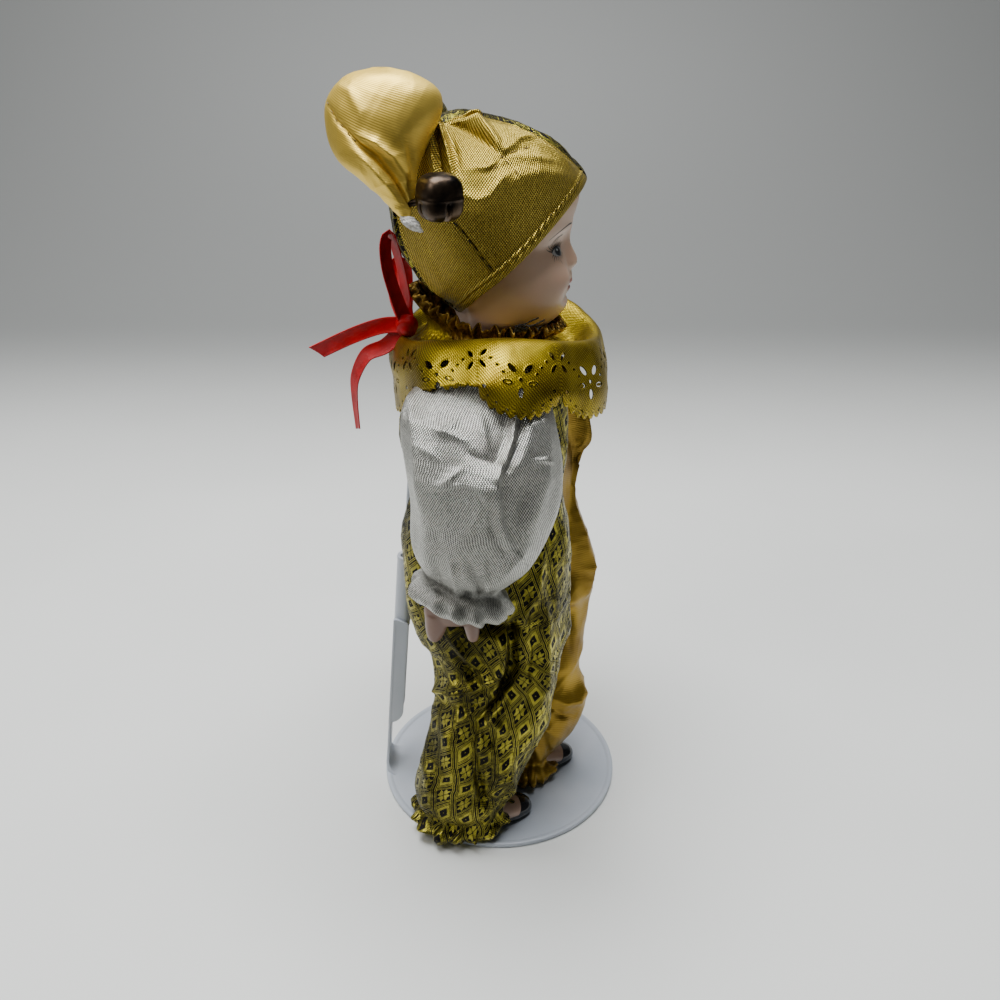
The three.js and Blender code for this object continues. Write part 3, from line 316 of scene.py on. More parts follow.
def even_rows(rows, count):
    """Even steps along the Catmull-Rom curve through the rows: between p1 and p2 it is half of
    2 p1 + (p2 - p0) t + (2 p0 - 5 p1 + 4 p2 - p3) t^2 + (3 p1 - p0 - 3 p2 + p3) t^3."""
    rows = np.asarray(rows, float)
    ends = np.vstack([2 * rows[0] - rows[1], rows, 2 * rows[-1] - rows[-2]])
    t = np.linspace(0, len(rows) - 1, 40 * len(rows))
    k = np.minimum(t.astype(int), len(rows) - 2)
    f = (t - k)[:, None]
    p0, p1, p2, p3 = ends[k], ends[k + 1], ends[k + 2], ends[k + 3]
    square = 2 * p0 - 5 * p1 + 4 * p2 - p3
    cube = 3 * p1 - p0 - 3 * p2 + p3
    fine = (2 * p1 + (p2 - p0) * f + square * f**2 + cube * f**3) / 2
    walked = walk_along(fine)
    steps = np.linspace(0, walked[-1], count)
    return np.stack([np.interp(steps, walked, column) for column in fine.T], axis=1)


def angles(sides):
    """Even angles round a ring, in a row."""
    return np.linspace(0, 2 * np.pi, sides, endpoint=False)[None, :]


def grid(*ways):
    """Points of a grid or places on a cloth. A coordinate may change along one way only."""
    return np.stack(np.broadcast_arrays(*ways), axis=2)


def coordinates(points):
    """The x, y and z of all points, each as a table of its own."""
    return np.moveaxis(points, -1, 0)


def closed(table):
    """A grid with its first column again at its end."""
    return np.concatenate([table, table[:, :1]], axis=1)


def unit(vectors, least=0.0):
    """Vectors brought to length 1, unless they are shorter than the least length."""
    return vectors / np.maximum(np.linalg.norm(vectors, axis=-1, keepdims=True), least)


def turned(x, y, angle):
    """Two coordinates turned by an angle in their plane."""
    c, s = np.cos(angle), np.sin(angle)
    return x * c - y * s, x * s + y * c


def ball_grid(rounds, sides, margin):
    """A ball of radius 1, as level rings whose angle from the lowest point starts and ends
    this margin short of the poles."""
    f = np.linspace(margin, np.pi - margin, rounds)[:, None]
    t = angles(sides)
    return grid(np.sin(f) * np.cos(t), np.sin(f) * np.sin(t), -np.cos(f))


def oval_column(rows, levels, sides):
    """A standing form: the point at angle t of a level is its centre plus (a cos t, b sin t)."""
    z, cx, cy, a, b = even_rows(rows, levels).T[:, :, None]
    t = angles(sides)
    return grid(cx + a * np.cos(t), cy + b * np.sin(t), z), t, z, cx, cy


def mirrored(rows):
    """The same rows for the other side of the body: centre x changes its sign."""
    return [[z, -cx, cy, a, b] for z, cx, cy, a, b in rows]


def outward(points, ring=True):
    """Unit normals of a grid: its step round crossed with its step along."""
    if ring:
        across = np.roll(points, -1, axis=1) - np.roll(points, 1, axis=1)
    else:
        across = np.gradient(points, axis=1)
    return unit(np.cross(across, np.gradient(points, axis=0)), 1e-9)


def pushed(points, amount, ring=True):
    """The grid moved along its normals by an amount for each point."""
    return points + outward(points, ring) * amount[..., None]


def smooth_step(x, low, high):
    """3 s^2 - 2 s^3 of the share s that x has gone from low to high."""
    s = np.clip((x - low) / (high - low), 0, 1)
    return s * s * (3 - 2 * s)


def ripple(points, length, seed, count=7):
    """Soft lumps of about this length: the mean of sines in random directions."""
    rng = np.random.default_rng(seed)
    ways = rng.normal(size=(count, 3))
    ways *= 2 * np.pi / length / np.linalg.norm(ways, axis=1, keepdims=True)
    return np.sin(points @ ways.T + rng.uniform(0, 6.3, count)).mean(axis=-1)


def crumple(points, length, seed, count=9):
    """Thin ridges that cross like creases in cloth: the mean of (1 - |sine|)^4 along bent
    random directions, less its average."""
    rng = np.random.default_rng(seed)
    ways = rng.normal(size=(count, 3))
    ways *= np.pi / length / np.linalg.norm(ways, axis=1, keepdims=True)
    bends = rng.normal(size=(count, 3)) * 0.35 / length
    phase = points @ ways.T + 1.6 * np.sin(points @ bends.T * 3) + rng.uniform(0, 6.3, count)
    ridges = (1 - np.abs(np.sin(phase))) ** 4
    fade = 0.5 + 0.5 * np.sin(points @ bends.T * 4 + rng.uniform(0, 6.3, count))
    return (ridges * fade).mean(axis=-1) - 0.1


def to_metres(points):
    """Places in modules above the soles, in metres above the floor."""
    return points * MODULE + np.array([0, 0, SOLE])


def in_picture(points):
    """Where the camera sees points, in pixels: 500 plus the focal length times their offset
    sideways and down, over their depth."""
    offset = to_metres(points) - EYE
    depth = offset @ AHEAD
    return 500 + FOCAL * (offset @ RIGHTWARD) / depth, 500 - FOCAL * (offset @ UPWARD) / depth


def facing(points, normals):
    """How squarely the surface looks at the camera, from 0 to 1, with a soft start."""
    away = unit(EYE - to_metres(points))
    return np.clip((normals * away).sum(axis=-1) * 2.5, 0, 1)


def fold_height(px, py, fold):
    """The lift of one fold at places in the picture: the height of the nearest point of its
    line times exp(-(d / w)^1.6), with d the distance and w the spread on that side."""
    right, left, *line = fold
    line = np.reshape(line, (-1, 3))
    nearest = np.full(px.shape, 1e9)
    height = np.zeros(px.shape)
    for (x0, y0, h0), (x1, y1, h1) in zip(line[:-1], line[1:]):
        dx, dy = x1 - x0, y1 - y0
        t = np.clip(((px - x0) * dx + (py - y0) * dy) / (dx * dx + dy * dy), 0, 1)
        distance = np.hypot(px - x0 - t * dx, py - y0 - t * dy)
        spread = np.where((py - y0) * dx - (px - x0) * dy > 0, right, left)
        lift = (h0 + (h1 - h0) * t) * np.exp(-((distance / spread) ** 1.6))
        height = np.where(distance < nearest, lift, height)
        nearest = np.minimum(distance, nearest)
    return height


def creased(points, folds, ring=True, strength=1.0):
    """Pushes a surface out along its normals by its folds, where the camera sees it."""
    normals = outward(points, ring)
    px, py = in_picture(points)
    push = sum(fold_height(px, py, fold) for fold in folds) * strength
    return points + normals * (push * facing(points, normals))[..., None]


def clear_of(points, rows, gap, below=1e9):
    """Moves points that lie inside a standing form out to its oval, level by level."""
    z, cx, cy, a, b = even_rows(rows, 200).T
    x, y, level = coordinates(points)

    def at(values):
        return np.interp(level, z, values)

    across = (x - at(cx)) / (at(a) + gap)
    along = (y - at(cy)) / (at(b) + gap)
    r = np.maximum(np.hypot(across, along), 1e-6)
    inside = (level > z[0]) & (level < np.minimum(z[-1], below))
    grow = np.where(inside, np.maximum(1 / r, 1), 1)
    x = at(cx) + across * grow * (at(a) + gap)
    return grid(x, at(cy) + along * grow * (at(b) + gap), level)


def cloth_uv(points, front, gather_below=None):
    """The cloth's own measure, in metres. u is the distance walked round each level from the
    column named front, and v the distance walked along that column. Below the gathering
    height a level keeps as much cloth as there is at that height."""
    u = walk_along(closed(points), axis=1)
    if gather_below is not None:
        level = points[:, :, 2].mean(axis=1)
        full = u[np.argmin(np.abs(level - gather_below)), -1]
        u *= np.where(level < gather_below, np.maximum(full / u[:, -1], 1), 1)[:, None]
    u -= u[:, front:front + 1]
    return grid(u, walk_along(points[:, front])[:, None]) * MODULE


# Pieces

def in_scene(name, data):
    """A new object of the scene."""
    thing = bpy.data.objects.new(name, data)
    bpy.context.scene.collection.objects.link(thing)
    return thing


def mesh_piece(name, points, corners, sizes, uv, material):
    """One object from points in metres, the corners of all faces in turn, how many corners
    each face has, a place on the cloth for each corner and the material."""
    mesh = bpy.data.meshes.new(name)
    mesh.vertices.add(len(points))
    mesh.vertices.foreach_set("co", np.ascontiguousarray(points, dtype=np.float32).ravel())
    mesh.loops.add(len(corners))
    mesh.loops.foreach_set("vertex_index", np.asarray(corners, dtype=np.int32))
    mesh.polygons.add(len(sizes))
    mesh.polygons.foreach_set("loop_start", np.append(0, np.cumsum(sizes)[:-1]).astype(np.int32))
    if uv is not None:
        layer = mesh.uv_layers.new(name="cloth")
        layer.uv.foreach_set("vector", np.ascontiguousarray(uv, dtype=np.float32).ravel())
    mesh.materials.append(material)
    mesh.update(calc_edges=True)
    mesh.validate()
    mesh.polygons.foreach_set("use_smooth", np.ones(len(mesh.polygons), dtype=bool))
    piece = in_scene(name, mesh)
    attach(piece, "root")
    return piece


def quads_of(table):
    """The four corners of each square of a table, in turn."""
    return np.stack([table[:-1, :-1], table[:-1, 1:], table[1:, 1:], table[1:, :-1]], axis=2)


def fans_of(table, low, high):
    """The corners of the triangles from the first and last rows of a table to their middles."""
    first = np.stack([table[0, 1:], table[0, :-1], low], axis=1)
    last = np.stack([table[-1, :-1], table[-1, 1:], high], axis=1)
    return np.concatenate([first, last])


def grid_piece(name, points, material, uv=None, ring=True, capped=True, flip=False, metres=False):
    """A grid of points (levels, around) as quads, closed round where it is a ring, with a fan
    of triangles to the middle of the first and the last level where it is capped."""
    levels, sides = points.shape[:2]
    flat = points.reshape(-1, 3)
    number = np.arange(len(flat)).reshape(levels, sides)
    if ring:
        number = closed(number)
    order = slice(None, None, -1 if flip else 1)
    corners = quads_of(number).reshape(-1, 4)[:, order].ravel()
    sizes = np.full(len(corners) // 4, 4)
    places = None if uv is None else quads_of(uv).reshape(-1, 4, 2)[:, order].reshape(-1, 2)
    if capped:
        fans = fans_of(number, np.full(sides, len(flat)), np.full(sides, len(flat) + 1))
        flat = np.vstack([flat, points[0].mean(axis=0), points[-1].mean(axis=0)])
        corners = np.append(corners, fans[:, order].ravel())
        sizes = np.append(sizes, np.full(len(fans), 3))
        if uv is not None:
            middle = (uv[:, 1:] + uv[:, :-1]) / 2
            spots = fans_of(uv, middle[0], middle[-1])[:, order]
            places = np.vstack([places, spots.reshape(-1, 2)])
    flat = flat if metres else to_metres(flat)
    return mesh_piece(name, flat, corners, sizes, places, material)


def joined(name, pieces):
    """Several meshes as one piece."""
    with bpy.context.temp_override(active_object=pieces[0], selected_editable_objects=pieces):
        bpy.ops.object.join()
    pieces[0].name = name
    pieces[0].data.name = name
    return pieces[0]


def pipe(name, path, radius, sides, material, metres=False):
    """A round bar along a path: at each point a circle in the plane across the path, turned
    so that it doesn't twist."""
    path = np.asarray(path, float)
    along = unit(np.gradient(path, axis=0))
    first = unit(np.cross(along, [0.31, 0.17, 0.93]))
    second = np.cross(along, first)
    t = angles(sides)[..., None]
    ring = np.cos(t) * first[:, None] + np.sin(t) * second[:, None]
    return grid_piece(name, path[:, None] + ring * radius, material, metres=metres)


def thickened(piece, thickness, offset=-1):
    """Gives an open sheet its thickness, with closed edges: inwards, or outwards at offset 1."""
    solid = piece.modifiers.new("thickness", "SOLIDIFY")
    solid.thickness = thickness
    solid.offset = offset
    return piece


def stands_for(piece, slot, *nodes):
    """Hides the solids that a piece stands for. The slot that its finish belongs to is not used."""
    if nodes:
        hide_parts(*nodes)
    return piece


# Materials

class Field:
    """A value that a material works out at each point, so that a pattern reads as a formula."""

    def __init__(self, tree, socket):
        self.tree = tree
        self.socket = socket

    def work(self, kind, *others):
        node = self.tree.nodes.new("ShaderNodeMath")
        node.operation = kind
        for place, value in enumerate((self, *others)):
            if isinstance(value, Field):
                self.tree.links.new(value.socket, node.inputs[place])
            else:
                node.inputs[place].default_value = value
        return Field(self.tree, node.outputs[0])

    def __add__(self, other):
        return self.work("ADD", other)

    def __sub__(self, other):
        return self.work("SUBTRACT", other)

    def __mul__(self, other):
        return self.work("MULTIPLY", other)

    def __abs__(self):
        return self.work("ABSOLUTE")

    def below(self, other):
        return self.work("LESS_THAN", other)

    def above(self, other):
        return self.work("GREATER_THAN", other)

    def least(self, other):
        return self.work("MINIMUM", other)

    def most(self, other):
        return self.work("MAXIMUM", other)

    def part(self):
        return self.work("FRACT")

    def wave(self, pitch, kind="SINE"):
        """The sine or cosine of this value, once round for each pitch."""
        return (self * (2 * np.pi / pitch)).work(kind)

    def ramp(self, low, high):
        node = self.tree.nodes.new("ShaderNodeMapRange")
        node.interpolation_type = "SMOOTHSTEP"
        node.inputs["From Min"].default_value = low
        node.inputs["From Max"].default_value = high
        self.tree.links.new(self.socket, node.inputs["Value"])
        return Field(self.tree, node.outputs[0])


class Finish:
    """A material with the values of its shader, and the fields and colours that feed it."""

    def __init__(self, name, **values):
        self.material = bpy.data.materials.new(name)
        self.material.use_nodes = True
        self.tree = self.material.node_tree
        self.shader = self.tree.nodes["Principled BSDF"]
        for socket, value in values.items():
            self.shader.inputs[socket.replace("_", " ")].default_value = value

    def node(self, kind, vector=None):
        node = self.tree.nodes.new("ShaderNode" + kind)
        if vector is not None:
            self.tree.links.new(vector, node.inputs[0])
        return node

    def cloth(self, turn=0):
        """The cloth's own measures u and v, turned on it by an angle."""
        node = self.node("UVMap")
        node.uv_map = "cloth"
        place = self.moved(node.outputs[0], turn=(0, 0, turn)) if turn else node.outputs[0]
        return self.parts(place)[:2]

    def place(self):
        return self.node("TexCoord").outputs["Object"]

    def parts(self, vector):
        node = self.node("SeparateXYZ", vector)
        return [Field(self.tree, output) for output in node.outputs]

    def spot(self, across, up):
        """A place on a plane from two fields."""
        node = self.node("CombineXYZ", across.socket)
        self.tree.links.new(up.socket, node.inputs[1])
        return node.outputs[0]

    def moved(self, vector, location=(0, 0, 0), turn=(0, 0, 0), scale=(1, 1, 1)):
        """The vector seen from a place of its own: less location, turned back and divided."""
        node = self.node("Mapping", vector)
        node.vector_type = "TEXTURE"
        node.inputs["Location"].default_value = location
        node.inputs["Rotation"].default_value = turn
        node.inputs["Scale"].default_value = scale
        return node.outputs[0]

    def oval(self, spot, across, up, long, wide, turn=0):
        """The distance from a place on a plane, 1 on the oval of these half sizes round it."""
        placed = self.moved(spot, (across, up, 0), (0, 0, turn), (long, wide, 1))
        node = self.node("VectorMath", placed)
        node.operation = "LENGTH"
        return Field(self.tree, node.outputs["Value"])

    def noise(self, scale, detail=3, squeeze=1):
        """Noise over the object's own place, or that place squeezed upwards."""
        place = self.place()
        place = place if squeeze == 1 else self.moved(place, scale=(1, 1, squeeze))
        node = self.node("TexNoise", place)
        node.inputs["Scale"].default_value = scale
        node.inputs["Detail"].default_value = detail
        return Field(self.tree, node.outputs[0])

    def mix(self, share, first, second):
        node = self.node("Mix", share.socket)
        node.data_type = "RGBA"
        for socket, colour in ((node.inputs[6], first), (node.inputs[7], second)):
            if isinstance(colour, tuple):
                socket.default_value = (*colour, 1)
            else:
                self.tree.links.new(colour, socket)
        return node.outputs[2]

    def mottled(self, scale, first, second):
        """A soft cloud, and the colour that goes with it from the first to the second."""
        cloud = self.noise(scale)
        return cloud, self.mix(cloud.ramp(0.3, 0.7), first, second)

    def feed(self, socket, source):
        source = source.socket if isinstance(source, Field) else source
        self.tree.links.new(source, self.shader.inputs[socket])

    def colour(self, share, first, second):
        self.feed("Base Color", self.mix(share, first, second))

    def bump(self, height, depth):
        """Relief from a field, of this depth in metres."""
        node = self.node("Bump")
        node.inputs["Distance"].default_value = depth
        self.tree.links.new(height.socket, node.inputs["Height"])
        self.feed("Normal", node.outputs[0])


def lame(name, bright, dark, across, down):
    """Metallic cloth: floats of bright thread over dark gaps in staggered rows, by
    cos(2 pi u / across) times cos(2 pi v / down)."""
    finish = Finish(name, Metallic=0.85, Roughness=0.36)
    u, v = finish.cloth()
    dots = u.wave(across, "COSINE") * v.wave(down, "COSINE")
    # glint: a fine noise of painted glints that brightens single floats at random, in the colour as well
    # as in the bump
    glint = finish.noise(1500, 2)
    shade = glint * 0.5 + dots * 0.45
    finish.colour(shade.ramp(-0.05, 0.62), dark, bright)
    finish.bump(dots + glint * 0.5, 0.00008)
    return finish.material


def satin(name, bright, dark, pitch=0.00066, slant=0.3, roughness=0.36, depth=0.000016):
    """Ribbed satin: fine ribs that run a little askew round the form, over soft colour."""
    finish = Finish(name, Metallic=0.7, Roughness=roughness, Anisotropic=0.4)
    u, v = finish.cloth()
    ribs = (v + u * slant).wave(pitch)
    # The ribs' shading is also painted faintly into the colour.
    shade = finish.noise(55) * 1.1 + ribs * 0.05
    finish.colour(shade.ramp(0.2, 0.85), dark, bright)
    finish.bump(ribs + finish.noise(1500, 2), depth)
    return finish.material


BROCADE_WIDTH = 0.0074
BROCADE_HEIGHT = 0.0112
BROCADE_TURN = np.radians(-14)
BAND_EDGE = 0.72


def brocade():
    """Bands of four gold lines cross on black. The cells between them hold by turns, like the
    squares of a chessboard, a gold diamond with a black eye and a gold star of eight points.
    a and b are the distances from a cell's two middle lines, from 0 to 1 at its sides."""
    finish = Finish("brocade", Specular_IOR_Level=0.1)
    u, v = finish.cloth(BROCADE_TURN)
    threads = (v + u * 0.2).wave(0.00036)
    u = u * (1 / BROCADE_WIDTH)
    v = v * (1 / BROCADE_HEIGHT)
    rising = u + v
    falling = u - v
    a = abs((rising.part() - 0.5) * 2)
    b = abs((falling.part() - 0.5) * 2)
    eyed = ((rising.work("FLOOR") + falling.work("FLOOR")) * 0.5).part().below(0.25)
    far = a.most(b)
    near = a.least(b)
    upper = a.above(BAND_EDGE)
    ruled = upper * a + (upper * -1 + 1) * b
    lines = ((ruled - BAND_EDGE) * (2 / (1 - BAND_EDGE))).part().below(0.46) * far.above(BAND_EDGE)
    diamond = far.below(0.65) * far.above(0.37).most(far.below(0.05))
    points = near.above((far - 0.36) * 0.8) * near.below(far * -0.4 + 0.52) * near.below(0.35)
    star = points * far.below(0.68) * near.above(0.035)
    gold = lines.most(diamond * eyed + star * (eyed * -1 + 1))
    # The gold is painted from nearly black to bright gold in broken patches, large and fine: painted gleam
    # and shade.
    shade = finish.noise(60) * 0.9 + threads * 0.16 + finish.noise(700, 2) * 0.5 - 0.2
    bright = finish.mix(shade.ramp(0.3, 0.72), (0.03, 0.026, 0.002), (0.62, 0.54, 0.07))
    sparkle = finish.noise(2600, 1).ramp(0.66, 0.76)
    ground = finish.mix(sparkle, (0.0025, 0.0015, 0.0015), (0.04, 0.03, 0.015))
    finish.colour(gold, ground, bright)
    finish.feed("Metallic", gold * 0.92)
    finish.feed("Roughness", gold * -0.18 + 0.46)
    finish.bump(gold * 0.9 + threads * 0.3 + finish.noise(1400, 2) * 0.4, 0.00008)
    return finish.material


# Holes of the eyelet cloth for one scallop, mirrored about its middle: distance from the middle
# and height above the scallop's lowest point, half length, half width in modules, and turn.
EYELETS = [
    [10.7, 15.7, 1.4, 0.6, 2.28], [10.9, 12.1, 1.4, 0.6, 0.87], [8.5, 14.0, 0.5, 0.42, 0],
    [6.7, 12.2, 0.45, 0.38, 0], [2.5, 11.9, 1.6, 0.9, 0.7], [5.0, 10.4, 0.45, 0.4, 0],
    [0, 9.0, 0.55, 0.5, 0], [0, 5.8, 0.80, 1.3, 0], [10.5, 6.2, 0.55, 0.5, 0],
    [6.8, 2.6, 0.4, 0.36, 0], [3.7, 1.5, 0.35, 0.3, 0], [9.3, 4.0, 0.35, 0.3, 0],
]
EYELET_RING = [3.8, 8.0, 1.4, 0.62, 0]
SCALLOP_PITCH = 25.6
# Where the cloth's back starts to show, as the way up from the hem in metres
FRILL_START = (0.0345, 0.0365)


def eyelet_cloth():
    """Gold cloth with a fine slanting weave and cut-out flowers, leaves and rings, placed from
    the middle of each scallop. Its back, seen at the frill, is browner."""
    finish = Finish("eyelet_cloth", Metallic=0.88, Roughness=0.40)
    u, v = finish.cloth()
    twill = (u + v).wave(0.00096)
    weave = twill * 0.7 + twill * (u * 0.6 - v).wave(0.00110) * 0.5
    shade = finish.noise(120) * 0.8 + weave * 0.26
    face = finish.mix(shade.ramp(0.05, 0.85), (0.10, 0.06, 0.002), (0.60, 0.45, 0.022))
    back = finish.mottled(420, (0.06, 0.028, 0.004), (0.46, 0.29, 0.06))[1]
    finish.colour(v.ramp(*FRILL_START), face, back)
    off = abs(((u * (1000 / SCALLOP_PITCH) + 0.5).part() - 0.5) * SCALLOP_PITCH)
    spot = finish.spot(off, v * 1000)
    reach = None
    for hole in EYELETS:
        near = finish.oval(spot, *hole)
        reach = near if reach is None else reach.least(near)
    loop = abs(finish.oval(spot, *EYELET_RING) - 0.85)
    finish.feed("Alpha", reach.above(1).least(loop.above(0.2)))
    rim = reach.least(loop + 0.9)
    finish.bump(weave * 0.5 + rim.ramp(1.0, 1.6) * -0.9, 0.00007)
    return finish.material


def bisque(name, coat, roughness, first, second):
    """Porcelain skin with a soft gloss, faint mottling and a little light passing under it."""
    finish = Finish(name, Subsurface_Weight=0.12, Subsurface_Radius=(0.004, 0.002, 0.001),
                    Subsurface_Scale=0.3, Coat_Weight=coat)
    cloud, skin = finish.mottled(70, first, second)
    finish.feed("Base Color", skin)
    finish.feed("Roughness", cloud * 0.12 + roughness)
    finish.bump(finish.noise(2400, 2), 0.00001)
    return finish, skin


def porcelain():
    """The skin of the hands: the face's porcelain painted much darker, as the shade that the sleeves cast
    on them.
    """
    return bisque("porcelain", 0.12, 0.36, (0.21, 0.115, 0.075), (0.26, 0.145, 0.10))[0].material


def face_porcelain():
    """The skin with blushed cheeks and reddened lips, painted from places on the face."""
    finish, skin = bisque("face_porcelain", 0.15, 0.34, (0.78, 0.53, 0.39), (0.86, 0.60, 0.46))
    across, up = finish.cloth()
    face = finish.spot(abs(across), up)
    blush = finish.oval(face, 0.0095, 0.1645, 0.0056, 0.0050)
    skin = finish.mix(blush.ramp(1.2, 0.1) * 0.2, skin, (0.50, 0.20, 0.13))
    upper = finish.oval(face, 0.0012, 0.1634, 0.0021, 0.0009)
    lower = finish.oval(face, 0, 0.1616, 0.0024, 0.0011)
    finish.colour(upper.least(lower).ramp(1.25, 0.8) * 0.85, skin, (0.42, 0.10, 0.08))
    return finish.material


SHOE_HEIGHT = 0.0031
SHOE_OPENING = 0.0182


def shoe_paint():
    """Black gloss paint over the foot below the shoe's opening, bare skin above it. The edge
    runs level round the heel and rises towards the toe."""
    finish = Finish("shoe_paint", Coat_Weight=0.4)
    spot = finish.node("Attribute")
    spot.attribute_name = "on_foot"
    along, across, up = finish.parts(spot.outputs["Vector"])
    throat = (along - SHOE_OPENING) * 1.2 + abs(across) * 0.25
    shoe = (up - SHOE_HEIGHT - throat.most(0)).ramp(0.0002, -0.0002)
    # The bare skin above the shoe is painted darker than the face's porcelain, as shade.
    finish.colour(shoe, (0.48, 0.315, 0.235), (0.006, 0.006, 0.008))
    finish.feed("Roughness", shoe * -0.22 + 0.42)
    finish.bump(finish.noise(1400, 2), 0.00001)
    return finish.material


def enamel():
    """Smooth white enamel on sheet metal, faintly bluish, with small specks of dust and wear."""
    finish = Finish("enamel", Coat_Weight=0.3, Coat_Roughness=0.12)
    cloud, base = finish.mottled(40, (0.41, 0.45, 0.51), (0.49, 0.52, 0.57))
    specks = finish.noise(900, 2).ramp(0.70, 0.78)
    finish.colour(specks * 0.35, base, (0.28, 0.28, 0.30))
    finish.feed("Roughness", cloud * 0.2 + 0.24)
    finish.bump(finish.noise(260, 2), 0.00003)
    return finish.material


def gunmetal():
    """Dark plated metal with a brown cast and fine polishing marks."""
    finish = Finish("gunmetal", Metallic=1.0)
    cloud, base = finish.mottled(260, (0.020, 0.017, 0.016), (0.10, 0.068, 0.045))
    finish.feed("Base Color", base)
    finish.feed("Roughness", cloud * 0.2 + 0.24)
    finish.bump(finish.noise(1600, 3, 0.12), 0.00001)
    return finish.material


def ribbon_satin():
    """Red satin ribbon: threads along it and two corded edges."""
    finish = Finish("ribbon_satin", Roughness=0.40, Anisotropic=0.4, Specular_IOR_Level=0.35)
    u, v = finish.cloth()
    ribs = v.wave(0.00030)
    edge = abs(u).ramp(0.0016, 0.0021)
    cloud = finish.noise(220)
    shade = (cloud + ribs * 0.08).ramp(0.25, 0.75)
    base = finish.mix(shade, (0.36, 0.0, 0.003), (0.60, 0.002, 0.008))
    finish.colour(edge * 0.4, base, (0.66, 0.008, 0.012))
    finish.bump(ribs * 0.4 + edge + cloud * 0.5, 0.00006)
    return finish.material


def yarn(name, dark, bright):
    """Matte fibres."""
    finish = Finish(name, Roughness=0.85, Sheen_Weight=0.2)
    fuzz = finish.noise(1800, 4)
    finish.colour(fuzz.ramp(0.35, 0.65), dark, bright)
    finish.bump(fuzz, 0.00025)
    return finish.material


def paint(name, colour):
    """Thin matt china paint."""
    finish = Finish(name, Roughness=0.5)
    lighter = tuple(min(1, channel * 1.5 + 0.01) for channel in colour)
    finish.colour(finish.noise(1500, 2).ramp(0.35, 0.65), colour, lighter)
    return finish.material


BROCADE = brocade()
# The suit's gold half and the near horn are one gold satin: the suit's copy is painted darker as shade,
# the horn's brighter as light.
GOLD_SATIN_IN_PAINTED_SHADE = satin("gold_satin", (0.40, 0.25, 0.024), (0.14, 0.075, 0.004))
HORN_SATIN_IN_PAINTED_LIGHT = satin("horn_satin", (0.95, 0.68, 0.13), (0.62, 0.42, 0.055),
                   pitch=0.00056, slant=0.35, roughness=0.46, depth=0.000012)
GOLD_LAME = lame("gold_lame", (0.80, 0.60, 0.10), (0.09, 0.055, 0.004), across=0.00060, down=0.00086)
SILVER_LAME = lame("silver_lame", (0.84, 0.83, 0.77), (0.09, 0.09, 0.08), across=0.00066, down=0.00094)
EYELET = eyelet_cloth()
HAND_SKIN_IN_PAINTED_SHADE = porcelain()
FACE = face_porcelain()
SHOES = shoe_paint()
ENAMEL = enamel()
BELL = gunmetal()
RIBBON = ribbon_satin()
WADDING = yarn("wadding", (0.68, 0.66, 0.62), (0.92, 0.91, 0.88))
THREAD = yarn("thread", (0.006, 0.005, 0.005), (0.04, 0.035, 0.03))
GILT = paint("gilt_thread", (0.20, 0.14, 0.02))
SEWING = yarn("sewing_thread", (0.10, 0.06, 0.012), (0.30, 0.20, 0.04))


# Suit

def drawn_in(points, t):
    """Draws the torso in to the seam between its halves, more the nearer a point is to it."""
    x, y, z = coordinates(points)
    torso = smooth_step(z, CROTCH_HEIGHT, CROTCH_HEIGHT + 14) * (1 - smooth_step(z, 130, 144))
    near = np.clip(1 - np.abs(x) / SEAM_REACH, 0, 1)
    seam = np.where(np.sin(t) > 0, SEAM_BACK, SEAM_FRONT)
    return grid(x, y + (seam - y) * np.sqrt(near) * torso, z)


def swelled(points, cx, cy, share):
    """The plan of each level spread from its centre by a share."""
    x, y, z = coordinates(points)
    return grid(x + (x - cx) * share, y + (y - cy) * share, z)


def soft_folds(points, t, z, cx, cy, depth):
    """Upright folds as a share of the radius: cos(5 t + z / 9) + 0.7 cos(9 t - z / 14)."""
    wave = np.cos(5 * t + z / 9) + 0.7 * np.cos(9 * t - z / 14)
    return swelled(points, cx, cy, depth * wave)


def within_seam(points, side):
    """Keeps the torso on its own side of the middle seam, above the crotch, where the two
    halves are sewn together with a narrow lap."""
    x, y, z = coordinates(points)
    limited = np.maximum(side * x, -SEAM_LAP) * side
    return grid(np.where(z > CROTCH_HEIGHT, limited, x), y, z)


def under_clip(points):
    """Lets the wire clip press into the waist: near its height the plan stays inside the wire."""
    x, y, z = coordinates(points)
    near = np.exp(-(((z - (WAIST_Z - SOLE) / MODULE) / 2.2) ** 2))
    across = x / (CLIP_HALF_WIDTH - CLIP_PRESS)
    along = (y - CLIP_CENTRE) / (WIRE_BACK - CLIP_CENTRE - CLIP_PRESS)
    r = np.maximum(np.hypot(across, along), 1e-6)
    shrink = 1 - np.clip(1 - 1 / r, 0, 0.25) * near * smooth_step(along / r, -0.45, -0.15)
    return grid(x * shrink, CLIP_CENTRE + (y - CLIP_CENTRE) * shrink, z)


def ruffled(points, t, z, cx, cy, elastic, crimps, depth):
    """Gathers below and a little above an elastic: radial waves that deepen towards the edge
    of the frill, with a short row of pleats over the elastic."""
    frill = 1 - smooth_step(z, elastic - 5, elastic + 0.5)
    pleats = np.exp(-((z - elastic) / 3.2) ** 2) * 0.45
    wave = np.sin(crimps * t + 1.3 * np.sin(2 * t)) + 0.6 * np.sin((crimps + 5) * t + 2 + z * 0.3)
    return swelled(points, cx, cy, depth * wave * (frill + pleats))


